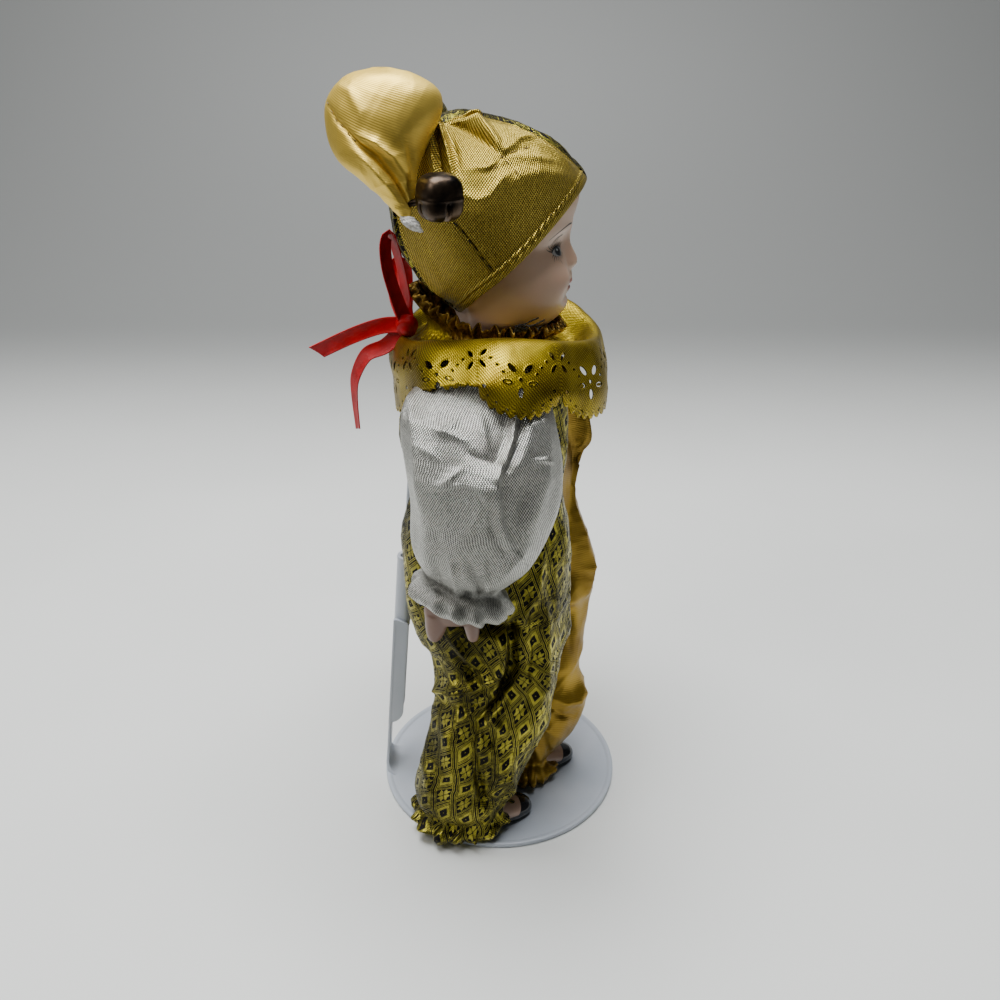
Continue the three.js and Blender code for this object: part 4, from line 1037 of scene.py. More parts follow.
def suit_half(rows, side, folds, strength, levels, sides, seed):
    """One half of the jumpsuit with its leg, from its pose table: upright folds, the drawn-in
    seam, the gathered ankle with its frill, and the creases of the cloth."""
    points, t, z, cx, cy = oval_column(rows, levels, sides)
    points = soft_folds(points, t, z, cx, cy, depth=0.016)
    points = ruffled(points, t, z, cx, cy, elastic=7, crimps=15, depth=0.05)
    low = 1 - smooth_step(z, 3, 10)
    points = pushed(points, ripple(points, 5.5, seed) * 1.6 * low)
    points = creased(drawn_in(points, t), folds, strength=strength)
    points = pushed(points, crumple(points, 17, seed + 1) * 2.6 * smooth_step(z, 10, 30))
    points = pushed(points, crumple(points, 6, seed + 2) * 0.7)
    return within_seam(under_clip(points), side)


def brocade_half():
    """The right half of the suit, black and gold."""
    points = suit_half(BROCADE_ROWS, -1, BROCADE_FOLDS, strength=1.8, levels=270, sides=230, seed=3)
    piece = grid_piece("brocade_suit", points, BROCADE, cloth_uv(points, front=120, gather_below=13))
    return stands_for(piece, "brocade", "suit_brocade")


def gold_half():
    """The left half, plain gold satin, which lies against the other leg."""
    points = suit_half(GOLD_ROWS, 1, GOLD_FOLDS, strength=1.25, levels=230, sides=170, seed=11)
    points = clear_of(points, BROCADE_ROWS, gap=0.5, below=CROTCH_HEIGHT)
    uv = cloth_uv(points, front=110, gather_below=11)
    piece = grid_piece("gold_suit", points, GOLD_SATIN_IN_PAINTED_SHADE, uv)
    return stands_for(piece, "gold_satin", "suit_gold")


# Sleeves

def under_collar(points):
    """Keeps a shoulder under the collar: its reach sideways follows the collar's slope."""
    x, y, z = coordinates(points)
    along = (y - COLLAR_CENTRE_Y) / COLLAR_DEPTH
    slope = np.interp(z, *np.transpose(COLLAR_SLOPE)) - COLLAR_GAP
    reach = slope * np.sqrt(np.clip(1 - along**2, 0.05, 1))
    return grid(np.sign(x) * np.minimum(np.abs(x), reach), y, z)


def sleeve(side):
    """A puffed sleeve gathered by elastic over a flared frill. The frill and the elastic rise
    towards the back of the arm. The far sleeve has no pressed folds and is crumpled more."""
    near = side < 0
    rows = mirrored(SLEEVE_ROWS) if near else SLEEVE_ROWS
    points, t, z, cx, cy = oval_column(rows, *SLEEVE_MESH[side])
    points = soft_folds(points, t, z, cx, cy, depth=0.02)
    points = ruffled(points, t, z, cx, cy, ELASTIC_HEIGHT, crimps=11, depth=0.05)
    above = points[..., 2] - ELASTIC_HEIGHT
    points[..., 2] = ELASTIC_HEIGHT + np.where(above < 0, above * FRILL_SHARE, above)
    points[..., 2] += (1 - smooth_step(z, 92, 104)) * WRIST_RISE * (points[..., 1] - cy)
    if near:
        points = creased(points, SLEEVE_FOLDS, strength=1.4)
    puff = smooth_step(z, 96, 112)
    points = pushed(points, crumple(points, 20, 21 + side) * (0.7 if near else 5) * puff)
    points = pushed(points, crumple(points, 6, 31 + side) * 0.25)
    points = under_collar(clear_of(points, BROCADE_ROWS if near else GOLD_ROWS, gap=0.4))
    uv = cloth_uv(points, front=150 if near else 0, gather_below=107)
    piece = grid_piece(f"sleeve_cloth_{SIDE[side]}", points, SILVER_LAME, uv)
    return stands_for(piece, "silver_lame", f"sleeve_{SIDE[side]}")


# Hands and feet

def melted(piece, rounds):
    """Lets the overlapping lobes of one casting run together, then smooths the joins."""
    remesh = piece.modifiers.new("one_body", "REMESH")
    remesh.mode = "VOXEL"
    remesh.voxel_size = CASTING_GRAIN
    remesh.use_smooth_shade = True
    soften = piece.modifiers.new("soft_joins", "SMOOTH")
    soften.iterations = rounds
    soften.factor = 0.5
    return piece


def hand(side):
    """A porcelain mitten: a palm that parts into the fingers and the thumb."""
    name = f"mitten_{SIDE[side]}"
    lobes = []
    for part, rows in (("palm", PALM_ROWS), ("fingers", FINGER_ROWS), ("thumb", THUMB_ROWS)):
        points = oval_column(mirrored(rows) if side < 0 else rows, levels=40, sides=32)[0]
        lobes.append(grid_piece(f"{name}_{part}", points, HAND_SKIN_IN_PAINTED_SHADE))
    piece = melted(joined(name, lobes), rounds=6)
    return stands_for(piece, "porcelain", f"hand_{SIDE[side]}")


def foot(side, heel):
    """A foot in its low shoe with the leg above it, made along its own length and then turned
    to its heading. The attribute on_foot keeps each point's distances along the foot, across
    it and up, so that the paint follows it."""
    name = f"foot_porcelain_{SIDE[side]}"
    y, half, top = even_rows(FOOT_ROWS, 90).T[:, :, None]
    t = angles(64)
    up = np.sin(t)
    lift = 0.45 + 0.55 * np.sign(up) * np.abs(up) ** 0.8
    shoe = grid(-half * np.cos(t), y, np.maximum(top * lift, 0))
    z, a, b = even_rows(ANKLE_ROWS, 60).T[:, :, None]
    shank = grid(a * np.cos(t), ANKLE_SETBACK + b * np.sin(t), z)
    turn = np.array([[np.cos(FOOT_HEADING), np.sin(FOOT_HEADING), 0],
                     [-np.sin(FOOT_HEADING), np.cos(FOOT_HEADING), 0], [0, 0, 1]])
    place = np.array([*heel, 0])
    parts = [grid_piece(name, part @ turn + place, SHOES) for part in (shoe, shank)]
    piece = melted(joined(name, parts), rounds=4)
    bpy.context.view_layer.update()
    mesh = bpy.data.meshes.new_from_object(piece.evaluated_get(bpy.context.evaluated_depsgraph_get()))
    piece.modifiers.clear()
    piece.data = mesh
    spots = np.empty(len(mesh.vertices) * 3, dtype=np.float32)
    mesh.vertices.foreach_get("co", spots)
    local = ((spots.reshape(-1, 3) - np.array([0, 0, SOLE])) / MODULE - place) @ turn.T * 0.001
    keep = mesh.attributes.new("on_foot", "FLOAT_VECTOR", "POINT")
    keep.data.foreach_set("vector", local[:, [1, 0, 2]].astype(np.float32).ravel())
    return stands_for(piece, "porcelain", f"foot_{SIDE[side]}")


# Head

def relief(x, z):
    """How far the face stands forward of its oval: soft mounds for the nose, its wings, the
    mouth, the chin, the cheeks and the eyeballs, less the sockets and the line of the mouth."""
    def mound(cx, cz, wide, high):
        return np.exp(-(((x - cx) / wide) ** 2) - ((z - cz) / high) ** 2)

    def pair(cx, cz, wide, high):
        return mound(-cx, cz, wide, high) + mound(cx, cz, wide, high)

    bridge = 1.5 * np.exp(-((x / 1.8) ** 2)) * smooth_step(z, 181, 174) * smooth_step(z, 166, 168)
    nose = bridge + 1.25 * mound(0, 169.3, 2.2, 2.4) + 0.6 * pair(1.9, 168.3, 1.1, 1.1)
    muzzle = 1.0 * mound(0, 163.5, 3.6, 4.0)
    lips = 0.8 * mound(0, 165.4, 2.4, 1.5) + 0.6 * mound(0, 163.4, 2.7, 0.9)
    lips = lips + 0.55 * mound(0, 161.6, 2.5, 1.0)
    mouth = 0.6 * mound(0, 162.5, 3.2, 0.38) + 0.4 * pair(3.3, 162.5, 0.8, 0.8)
    philtrum = 0.3 * mound(0, 165.9, 0.6, 1.0)
    chin = 1.3 * mound(0, 156.8, 4.4, 2.9) - 0.5 * mound(0, 159.8, 3.6, 0.9)
    cheeks = 2.6 * pair(9.0, 165.6, 4.2, 5.0)
    sockets = 1.0 * pair(8.4, 173.2, 4.2, 3.6) - 0.8 * pair(8.5, 172.8, 2.4, 2.0)
    lids = 0.22 * pair(8.5, 174.7, 2.6, 0.5) + 0.15 * pair(8.5, 171.1, 2.2, 0.5)
    brow = 0.35 * pair(7.0, 178.2, 4.4, 1.4)
    return nose + muzzle + lips - mouth - philtrum + chin + cheeks - sockets - lids + brow


HEAD_CURVE = even_rows(HEAD_ROWS, 400)
STROKE_LIFT = 0.06
PUPIL_X = 8.5
PUPIL_HEIGHT = 172.9


def head_section(z):
    """Half width, front y and back y of the head at a height."""
    return [np.interp(z, HEAD_CURVE[:, 0], column) for column in HEAD_CURVE.T[1:]]


def on_neck(points, yaw=0.0):
    """From the head's or the cap's own axes to the figure's: turned, then set on the neck."""
    x, y, z = coordinates(points)
    x, y = turned(x, y, yaw)
    return grid(x, y + NECK_Y, z)


def head_piece():
    """The head and neck: level ovals with the relief of the face, denser at the front."""
    z = np.interp(np.linspace(0, 1, 190), [0, 0.1, 0.85, 1], [0, 0.19, 0.72, 1])
    walk = np.linspace(0, 1, len(HEAD_CURVE))
    height, a, front, back = (np.interp(z, walk, column)[:, None] for column in HEAD_CURVE.T)
    s = np.linspace(-1, 1, 180, endpoint=False)[None, :]
    t = np.pi * (0.42 * s + 0.58 * s * np.abs(s))
    x = a * np.sin(t)
    level = -np.cos(t)
    y = (front + back) / 2 + (back - front) / 2 * level
    y = y - np.where(level < 0, relief(x, height), 0) * smooth_step(-level, 0, 0.35)
    own = grid(x, y, height)
    uv = closed(own)[..., [0, 2]] * 0.001
    piece = grid_piece("head_porcelain", on_neck(own), FACE, uv)
    return stands_for(piece, "porcelain", "head")


def on_face(x, z, lift):
    """A place on the front of the head from its own x and height, lifted off the surface."""
    a, front, back = head_section(z)
    level = -np.sqrt(np.clip(1 - (x / a) ** 2, 0, 1))
    y = (front + back) / 2 + (back - front) / 2 * level
    y = y - relief(x, z) * smooth_step(-level, 0, 0.35)
    return on_neck(grid(x, y - lift, z))


def strokes(name, x0, z0, x1, z1, bow, width, material):
    """Painted strokes from one point to another, bowed sideways, that thin towards their end.
    Each is a strip of 7 pairs of points on the face."""
    s = np.linspace(0, 1, 7)[None, :]
    x0, z0, x1, z1, bow = (np.reshape(v, (-1, 1)) for v in (x0, z0, x1, z1, bow))
    nx, nz = -(z1 - z0), x1 - x0
    long = np.hypot(nx, nz)
    mid_x = x0 + (x1 - x0) * s + bow * 4 * s * (1 - s) * nx
    mid_z = z0 + (z1 - z0) * s + bow * 4 * s * (1 - s) * nz
    half = width / 2 * (1 - 0.75 * s)
    edges = [on_face(mid_x + k * half * nx / long, mid_z + k * half * nz / long, STROKE_LIFT)
             for k in (-1, 1)]
    points = np.stack(edges, axis=2)
    number = np.arange(points.size // 3).reshape(-1, 7, 2)
    quads = np.stack([number[:, :-1, 0], number[:, :-1, 1], number[:, 1:, 1], number[:, 1:, 0]], axis=2)
    sizes = np.full(quads.size // 4, 4)
    return mesh_piece(name, to_metres(points.reshape(-1, 3)), quads.ravel(), sizes, None, material)


def painted_disc(name, cx, cz, wide, high, material, lift):
    """A painted oval on the face, from rings of points."""
    r = np.linspace(0.05, 1, 8)[:, None]
    t = angles(40)
    points = on_face(cx + wide * r * np.cos(t), cz + high * r * np.sin(t), lift)
    return grid_piece(name, points, material, capped=False)


def painted_eye(side):
    """White, grey-blue iris, pupil, glint, lid line and lashes above and below."""
    x, z = side * PUPIL_X, PUPIL_HEIGHT
    ink = paint("lash_paint", (0.012, 0.010, 0.010))
    parts = [
        painted_disc("eye_white", x, z, 2.2, 1.15, paint("eye_white", (0.40, 0.38, 0.37)), 0.03),
        painted_disc("iris", x, z + 0.05, 1.25, 1.1, paint("iris", (0.03, 0.035, 0.045)), 0.06),
        painted_disc("pupil", x, z + 0.1, 0.7, 0.7, ink, 0.09),
        painted_disc("glint", x - 0.4, z + 0.5, 0.25, 0.3, paint("glint", (0.6, 0.62, 0.65)), 0.12),
    ]
    t = np.radians(np.linspace(18, 165, 10))
    reach = 2.2 + 0.7 * np.sin(t * 5)
    parts.append(strokes("upper_lashes", x + 2.1 * np.cos(t), z + 1.15 * np.sin(t),
                         x + (2.1 + reach * 0.6) * np.cos(t), z + (1.15 + reach) * np.sin(t) + 0.3,
                         np.full(10, 0.1), 0.33, ink))
    t = np.radians(np.linspace(205, 335, 9))
    reach = 1.6 + 0.4 * np.sin(t * 7)
    parts.append(strokes("lower_lashes", x + 2.1 * np.cos(t), z + 1.1 * np.sin(t),
                         x + (2.1 + reach * 0.5) * np.cos(t), z + (1.1 + reach) * np.sin(t),
                         np.full(9, -0.1), 0.25, ink))
    parts.append(strokes("lid_line", x - 2.3, z + 0.2, x + 2.3, z + 0.2, 0.24, 0.42, ink))
    return parts


def face_paint():
    """Eyes, thin arched brows and the line of the mouth, painted on the porcelain."""
    parts = painted_eye(-1) + painted_eye(1)
    brown = paint("brow_paint", (0.055, 0.03, 0.02))
    red = paint("mouth_line", (0.14, 0.03, 0.03))
    for side in (-1, 1):
        parts.append(strokes("brow", side * 3.1, 178.7, side * 12.2, 176.4, side * 0.16, 0.55, brown))
        parts.append(strokes("lid_crease", side * 7.0, 176.7, side * 10.2, 175.5, side * 0.12, 0.4, brown))
    for side in (1, -1):
        parts.append(strokes("mouth_line", 0, 162.5, side * 3.1, 162.8, side * -0.03, 0.28, red))
    piece = joined("face_paint", parts)
    return piece


# Cap

CAP_CURVE = even_rows(CAP_ROWS, 400)


def cap_reach(origin, ways):
    """How far each ray runs from a point inside the cap to its surface: the span between an
    inner and an outer bound is halved 30 times, by (x / a)^2 + ((y - c) / h)^2 against 1."""
    low = np.zeros(ways.shape[:-1])
    high = np.full(ways.shape[:-1], 60.0)
    heights = CAP_CURVE[:, 0]
    for _ in range(30):
        middle = (low + high) / 2
        p = origin + ways * middle[..., None]
        a, front, back = (np.interp(p[..., 2], heights, column) for column in CAP_CURVE.T[1:])
        value = (p[..., 0] / a) ** 2 + ((p[..., 1] - (front + back) / 2) / ((back - front) / 2)) ** 2
        inside = (value < 1) & (p[..., 2] < heights[-1])
        low = np.where(inside, middle, low)
        high = np.where(inside, high, middle)
    return low


def cap_surface(side, rounds, columns):
    """One half of the cap from the pole to the hem. Rays from the middle of the hem's plane run
    at angle f from the pole and g round the hem, which starts at the nape and ends over the
    forehead, both on the middle seam. At the hem f is 72 degrees beside the ear, 87 at the
    nape and 89.5 over the forehead."""
    s, c = np.sin(CAP_SEAM_TURN), np.cos(CAP_SEAM_TURN)
    origin = np.array([CAP_SEAM_SHIFT + side * 0.15, 0, HEM_SUM])
    pole = np.array([s, c, 1]) / np.sqrt(2)
    nape = np.array([s, c, -c]) / np.sqrt(s * s + 2 * c * c)
    sideways = np.cross(nape, np.array([0, 1, 1]) / np.sqrt(2))
    sideways *= side * np.sign(sideways[0])
    g = np.linspace(0, np.pi, columns)[None, :, None]
    turn = np.degrees(g) - 62
    hem = 72 + 17.5 * np.clip(turn / 118, 0, 1) ** 1.5 + 15 * np.clip(-turn / 62, 0, 1) ** 1.5
    f = np.radians(hem) * np.linspace(0, 1, rounds)[:, None, None]
    ways = unit(np.cos(f) * pole + np.sin(f) * (np.cos(g) * nape + np.sin(g) * sideways))
    return origin + ways * cap_reach(origin, ways)[..., None], g[..., 0]


def cap_cloth_uv(own):
    """The cloth's measure on the cap: u is the turn about the head's axis times 24, v follows
    the wall up and then the dome, as 21 asin((z - 184) / 21.5) above a height of 184."""
    x, y, z = coordinates(own)
    around = np.arctan2(y - 1, np.abs(x) + 6)
    rise = z - 184
    v = np.where(rise > 0, 21 * np.arcsin(np.clip(rise / 21.5, 0, 1)), rise)
    return grid(around * 24, v) * MODULE


def cap_half(side, material, slot, node):
    """Half of the cap in its own cloth, with the hem folded up and topstitched, the seams
    sunk, and the tucks that gather it at the horn. The far half is only crumpled, and more."""
    near = side < 0
    own, g = cap_surface(side, *CAP_MESH[side])
    own = own[:, ::-1] if near else own
    points = on_neck(own, CAP_YAW)
    hem = np.linalg.norm(points - points[-1:], axis=2)
    band = 0.45 * (1 - smooth_step(hem, 2.3, 2.9)) - 0.25 * np.exp(-((hem - 1.7) / 0.3) ** 2)
    seam_gap = np.minimum(np.abs(g), np.abs(np.pi - g)) * 20
    seam = -0.5 * np.exp(-((seam_gap / 0.9) ** 2)) + 0.5 * np.exp(-((seam_gap - 2.2) / 1.2) ** 2)
    puff = smooth_step(hem, 3, 8)
    points = pushed(points, band + seam * puff * smooth_step(seam_gap, 0, 0.3), ring=False)
    if near:
        points = creased(points, CAP_FOLDS, ring=False)
    points = pushed(points, crumple(points, 15, 41) * (1.0 if near else 3) * puff, ring=False)
    points = pushed(points, crumple(points, 5, 42) * 0.3, ring=False)
    points[0] = points[1].mean(axis=0)
    piece = grid_piece(f"{node}_cloth", points, material, cap_cloth_uv(own), ring=False, capped=False)
    thickened(piece, CAP_CLOTH)
    return stands_for(piece, slot, node), points


def stitches(name, line, points, material, long, gap, thick):
    """A row of stitches along a line of the photograph. Each is a small ellipsoid set at the
    visible point of the surface nearest to its place and pointed at the next one."""
    line = np.asarray(line, float)
    spans = walk_along(line)
    count = max(int(spans[-1] / ((long + gap) * 4.2)), 1)
    starts = (np.arange(count) + 0.5) * spans[-1] / count
    normals = outward(points, ring=False)
    px, py = in_picture(points)
    hidden = (facing(points, normals) < 0.1) * 1e6

    def nearest(at):
        x, y = (np.interp(at, spans, column)[:, None] for column in line.T)
        best = (np.hypot(px.ravel()[None] - x, py.ravel()[None] - y) + hidden.ravel()).argmin(axis=1)
        return points.reshape(-1, 3)[best], normals.reshape(-1, 3)[best]

    middle, lift = nearest(starts)
    along = unit(nearest(starts + 3)[0] - nearest(starts - 3)[0], 1e-6)
    frames = np.stack([along * long / 2, np.cross(lift, along) * thick, lift * thick], axis=1)
    ball = ball_grid(rounds=7, sides=8, margin=0.15)[..., [2, 0, 1]]
    beads = []
    for k in range(count):
        beads.append(grid_piece(f"{name}_{k}", middle[k] + lift[k] * 0.1 + ball @ frames[k], material))
    return joined(name, beads)


# Horns, wadding and bells

def horn(side, material, slot, node):
    """A stuffed teardrop, from its pose table, with a puckered seam along its side."""
    near = side < 0
    dropped = [[z - LEFT_HORN_DROP, *rest] for z, *rest in HORN_ROWS]
    rows = mirrored(HORN_ROWS) if near else dropped
    points, _, z, _, _ = oval_column(rows, *HORN_MESH[side])
    if near:
        points = creased(points, HORN_FOLDS)
    tip = 1 - smooth_step(z, 188, 200)
    points = pushed(points, crumple(points, 9, 51 + side) * (0.5 + 0.8 * tip))
    points = pushed(points, ripple(points, 11, 53 + side) * 0.35)
    uv = cloth_uv(points, front=100 if near else 0)
    piece = grid_piece(f"horn_cloth_{SIDE[side]}", points, material, uv)
    return stands_for(piece, slot, node), points


def bell(side):
    """A jingle bell: a slightly squared ball with a raised waist, four slots that meet below,
    and the shank that holds it."""
    flip = np.array([side, 1, 1])
    drop = np.array([0, 0, 0 if side < 0 else LEFT_HORN_DROP])
    centre = flip * BELL_PLACE - drop
    stitch = flip * BELL_STITCH - drop
    x, y, z = coordinates(ball_grid(rounds=90, sides=120, margin=0.02))
    squared = (np.abs(x) ** 3 + np.abs(y) ** 3 + np.abs(z) ** 3) ** (-1 / 3)
    cut = np.minimum(np.abs(x), np.abs(y)) * BELL_RADIUS
    slot = np.exp(-((cut / 0.45) ** 4)) * smooth_step(-z, 0.1, 0.25)
    waist = np.exp(-((z * BELL_RADIUS / 0.35) ** 2))
    r = BELL_RADIUS * squared - 1.1 * slot + 0.16 * waist
    x, y = turned(x, y, BELL_TURN)
    name = f"bell_metal_{SIDE[side]}"
    shank = pipe(f"{name}_shank", np.linspace(centre, stitch, 6), radius=0.8, sides=16, material=BELL)
    piece = joined(name, [grid_piece(name, grid(x * r, y * r, z * r * 1.06) + centre, BELL), shank])
    return stands_for(piece, "bell_metal", f"bell_{SIDE[side]}")


def wadding():
    """A tuft of white stuffing: a ball roughened by lumps of two sizes."""
    ball = ball_grid(rounds=60, sides=80, margin=0.03)
    lumps = 1 + 0.35 * ripple(ball, 1.1, 61) + 0.18 * ripple(ball, 0.4, 62)
    x, y, z = coordinates(ball * np.array(WADDING_SIZE) * lumps[..., None])
    y, z = turned(y, z, WADDING_TILT)
    piece = grid_piece("wadding_tuft", grid(x, y, z) + np.array(WADDING_PLACE), WADDING)
    return stands_for(piece, "wadding", "horn_wadding")


# Collar

def collar_points(columns, levels):
    """The collar's cloth. Each azimuth t has the curve through its rows, at x = side cos t,
    y = front or back sin t and a height mixed by cos^2 t and sin^2 t. The hem hangs in
    scallops by sqrt(1 - off^2.4), with off the distance from a scallop's middle, 1 at its
    ends. It is hitched up behind the right shoulder, where one scallop is folded under."""
    degrees = FIRST_SCALLOP_AZIMUTH + 360 * np.arange(columns) / columns
    t = np.radians(degrees)
    c, s = np.cos(t), np.sin(t)
    turn = (degrees - FIRST_SCALLOP_AZIMUTH) * SCALLOPS / 360
    off = np.abs(turn - np.round(turn)) * 2
    middle = FIRST_SCALLOP_AZIMUTH + np.round(turn) * 360 / SCALLOPS
    folded = np.abs((middle - FOLDED_AZIMUTH + 540) % 360 - 180) < 180 / SCALLOPS
    shown = np.where(folded, FOLDED_SHARE, 1)
    hang = np.sqrt(np.maximum(1 - off**2.4, 0)) * shown
    flare = SCALLOP_FLARE * (0.5 + 0.5 * np.cos(np.pi * off)) * np.abs(c) * shown
    rows = []
    for side, front, back, z_side, z_front, z_back in COLLAR_ROWS:
        along = np.where(s < 0, front, back)
        z = z_side * c * c + np.where(s < 0, z_front, z_back) * s * s
        rows.append(np.stack([side * c, COLLAR_CENTRE_Y + along * s, z], axis=1))
    behind = (degrees - HITCH_AZIMUTH + 180) % 360 - 180
    hitched = HITCH_LIFT * np.exp(-((behind / HITCH_REACH) ** 2))
    rows[-1][:, 2] += hitched
    rows[-2][:, 2] += hitched / 2
    rows.append(rows[-1] + np.stack([flare * c, 0 * s, -(SCALLOP_DROP * hang + NOTCH_DROP)], axis=1))
    profile = even_rows(np.stack(rows).reshape(len(rows), -1), 600).reshape(600, columns, 3)
    share = np.interp(np.linspace(0, 1, levels), [0, 0.16, 0.5, 1], [0, 0.2, 0.52, 1])
    points = profile[np.round(share * 599).astype(int)]
    return points, t, share, hang, turn - np.round(turn)


def collar():
    """Gathered neck with its frill, crimped by sin(41 t) and sin(67 t), the rolled fold and the
    falling eyelet band. Nine small scallops along each large one move the edge down by
    |cos(9 pi off)| - 0.6."""
    columns, levels = SCALLOPS * 64, 58
    points, t, share, hang, off = collar_points(columns, levels)
    share = share[:, None]
    t = t[None, :]
    crimp = np.sin(41 * t + 1.5 * np.sin(5 * t)) + 0.7 * np.sin(67 * t + 2 * np.sin(3 * t) + share * 9)
    frill = np.exp(-((share - 0.02) / 0.10) ** 2)
    gathers = 0.35 * np.exp(-((share - 0.18) / 0.16) ** 2)
    band = smooth_step(share, 0.45, 0.7)
    wave = 0.5 * np.sin(7 * t + 0.6) * band + 0.3 * np.sin(11 * t + 2) * band
    points = pushed(points, crimp * (0.95 * frill + 0.4 * gathers) + wave)
    points = creased(points, COLLAR_FOLDS, strength=1.5)
    points = pushed(points, crumple(points, 14, 71) * 0.7 * smooth_step(share, 0.3, 0.6))
    points = pushed(points, crumple(points, 4, 72) * 0.12)
    u = (np.arange(columns + 1) / columns * SCALLOPS * SCALLOP_PITCH)[None, :]
    v = walk_along(closed(points)[::-1])[::-1]
    lift = SCALLOP_DROP * (1 - np.append(hang, hang[0]))[None, :]
    uv = grid(u, v + lift) * 0.001
    small = 1.3 * (np.abs(np.cos(np.pi * EDGE_SCALLOPS * off)) - 0.6) * smooth_step(share, 0.93, 1)
    points = points + unit(np.gradient(points, axis=0)) * small[..., None]
    piece = grid_piece("collar_cloth", points, EYELET, uv, capped=False, flip=True)
    thickened(piece, COLLAR_CLOTH)
    return stands_for(piece, "eyelet_lame", "collar")


# Ribbon and thread

RIBBON_WIDTH = 4.2
# Paths from the knot as in the solids: x, y, height and the twist of the width in degrees.
RIBBON_PATHS = [
    [[-5.6, 24.6, 153, 70], [-5.4, 31, 152.6, 80], [-5, 39, 149.8, 85], [-4.4, 49, 145, 90]],
    [[-5.6, 25.6, 151.4, 80], [-5.6, 30.4, 147.2, 60], [-5.2, 35.6, 144.6, 50], [-4.6, 39, 138.4, 38],
     [-4.2, 39.7, 132.6, 30], [-4, 39.4, 122.6, 24]],
    [[-5.6, 24.6, 154, 50], [-7, 26.4, 160, 40], [-7.4, 28.4, 168, 36], [-7, 28.8, 174, 36],
     [-6, 27.8, 176.6, 36], [-4.8, 26.6, 173, 36], [-4.2, 25, 165, 36], [-4.8, 24, 154, 50]],
    [[-4.6, 24.6, 153.6, 80], [1, 27.2, 158, 80], [8, 28.2, 162.4, 80], [13, 27.8, 164.6, 80],
     [15.2, 26.4, 162.2, 80], [12, 26, 158, 80], [6, 25.6, 154.6, 80], [-3, 24.8, 152.6, 80]],
]
RIBBON_CUTS = [2.4, 1.6, 0, 0]
KNOT = [-5.6, 24.4, 152.8]
KNOT_SIZE = [3.0, 2.5, 2.9]
THREAD_PATH = [
    [-15.2, -3.2, 153.6], [-15.3, -6, 155.2], [-14.9, -8.4, 155.6], [-13.2, -11.6, 156.6],
]
THREAD_TAIL = [[-15, -4.6, 154.6], [-14.6, -7.4, 156.4], [-13.4, -10, 157.2]]


def ribbon_strip(name, path, cut):
    """A flat ribbon: across each point of the path lies a line of its width, turned about the
    path by its twist from level, and a little arched. The free end is cut at a slant."""
    rows = even_rows(path, 90)
    middle = rows[:, :3]
    along = unit(np.gradient(middle, axis=0))
    twist = np.radians(rows[:, 3:])
    level = unit(np.array([1, 0, 0]) - along * along[:, :1])
    across = np.cos(twist) * level + np.sin(twist) * np.cross(level, along)
    face = np.cross(along, across)
    w = np.linspace(-0.5, 0.5, 15)[None, :]
    arch = 0.35 * (1 - 4 * w * w)[..., None]
    slant = cut * w * smooth_step(np.linspace(0, 1, 90), 0.7, 1)[:, None]
    points = (middle[:, None] + across[:, None] * (w * RIBBON_WIDTH)[..., None]
              + face[:, None] * arch + along[:, None] * slant[..., None])
    walked = walk_along(middle)[:, None]
    uv = grid(w * RIBBON_WIDTH, walked) * MODULE
    return grid_piece(name, points, RIBBON, uv, ring=False, capped=False)


def knot():
    """The knot: a ball pulled flat, wrapped by a raised turn of ribbon."""
    ball = ball_grid(rounds=60, sides=80, margin=0.03)
    turn = 0.16 * np.exp(-(((ball[..., 0] * 0.8 + ball[..., 2] * 0.4) / 0.42) ** 4))
    creases = 0.06 * np.sin(9 * ball[..., 0] + 5 * ball[..., 2])
    points = ball * np.array(KNOT_SIZE) * (1 + turn + creases)[..., None] + np.array(KNOT)
    around = 0.003 * angles(80)
    uv = np.zeros((60, 81, 2))
    uv[..., 1] = np.append(around, around[0, -1] + 0.0003)
    return grid_piece("ribbon_knot", points, RIBBON, uv)


def neck_ribbon():
    """The bow at the back of the neck: two loops, two tails and the knot."""
    strips = []
    for k, (path, cut) in enumerate(zip(RIBBON_PATHS, RIBBON_CUTS)):
        strips.append(ribbon_strip(f"ribbon_{k}", path, cut))
    bow = thickened(joined("ribbon_bow", strips), RIBBON_CLOTH, 0)
    stands_for(bow, "ribbon_satin", "neck_ribbon")
    knot()


def chin_thread():
    """Black thread ends in a tangle under the jaw: a line with small loops on it."""
    s = np.linspace(0, 1, 160)
    ends = even_rows(THREAD_PATH, 160)
    knotty = np.exp(-(((s - 0.3) / 0.16) ** 2))[:, None]
    loops = np.stack([0.5 * np.sin(46 * s), 1.3 * np.sin(60 * s), 0.9 * np.cos(52 * s)], axis=1)
    piece = pipe("thread_tangle", ends + loops * knotty, radius=0.22, sides=8, material=THREAD)
    tail = pipe("thread_tail", even_rows(THREAD_TAIL, 40), radius=0.2, sides=8, material=THREAD)
    piece = joined("thread_tangle", [piece, tail])
    return stands_for(piece, "black_thread", "chin_thread")


# Stand

def sheet_metal(name, x, y, z, thickness, offset=-1, flip=False):
    """A sheet of the upright, which leans forward by LEAN for each unit of height."""
    points = grid(x, y - LEAN * z, z)
    piece = grid_piece(name, points, ENAMEL, ring=False, capped=False, flip=flip, metres=True)
    return thickened(piece, thickness, offset)


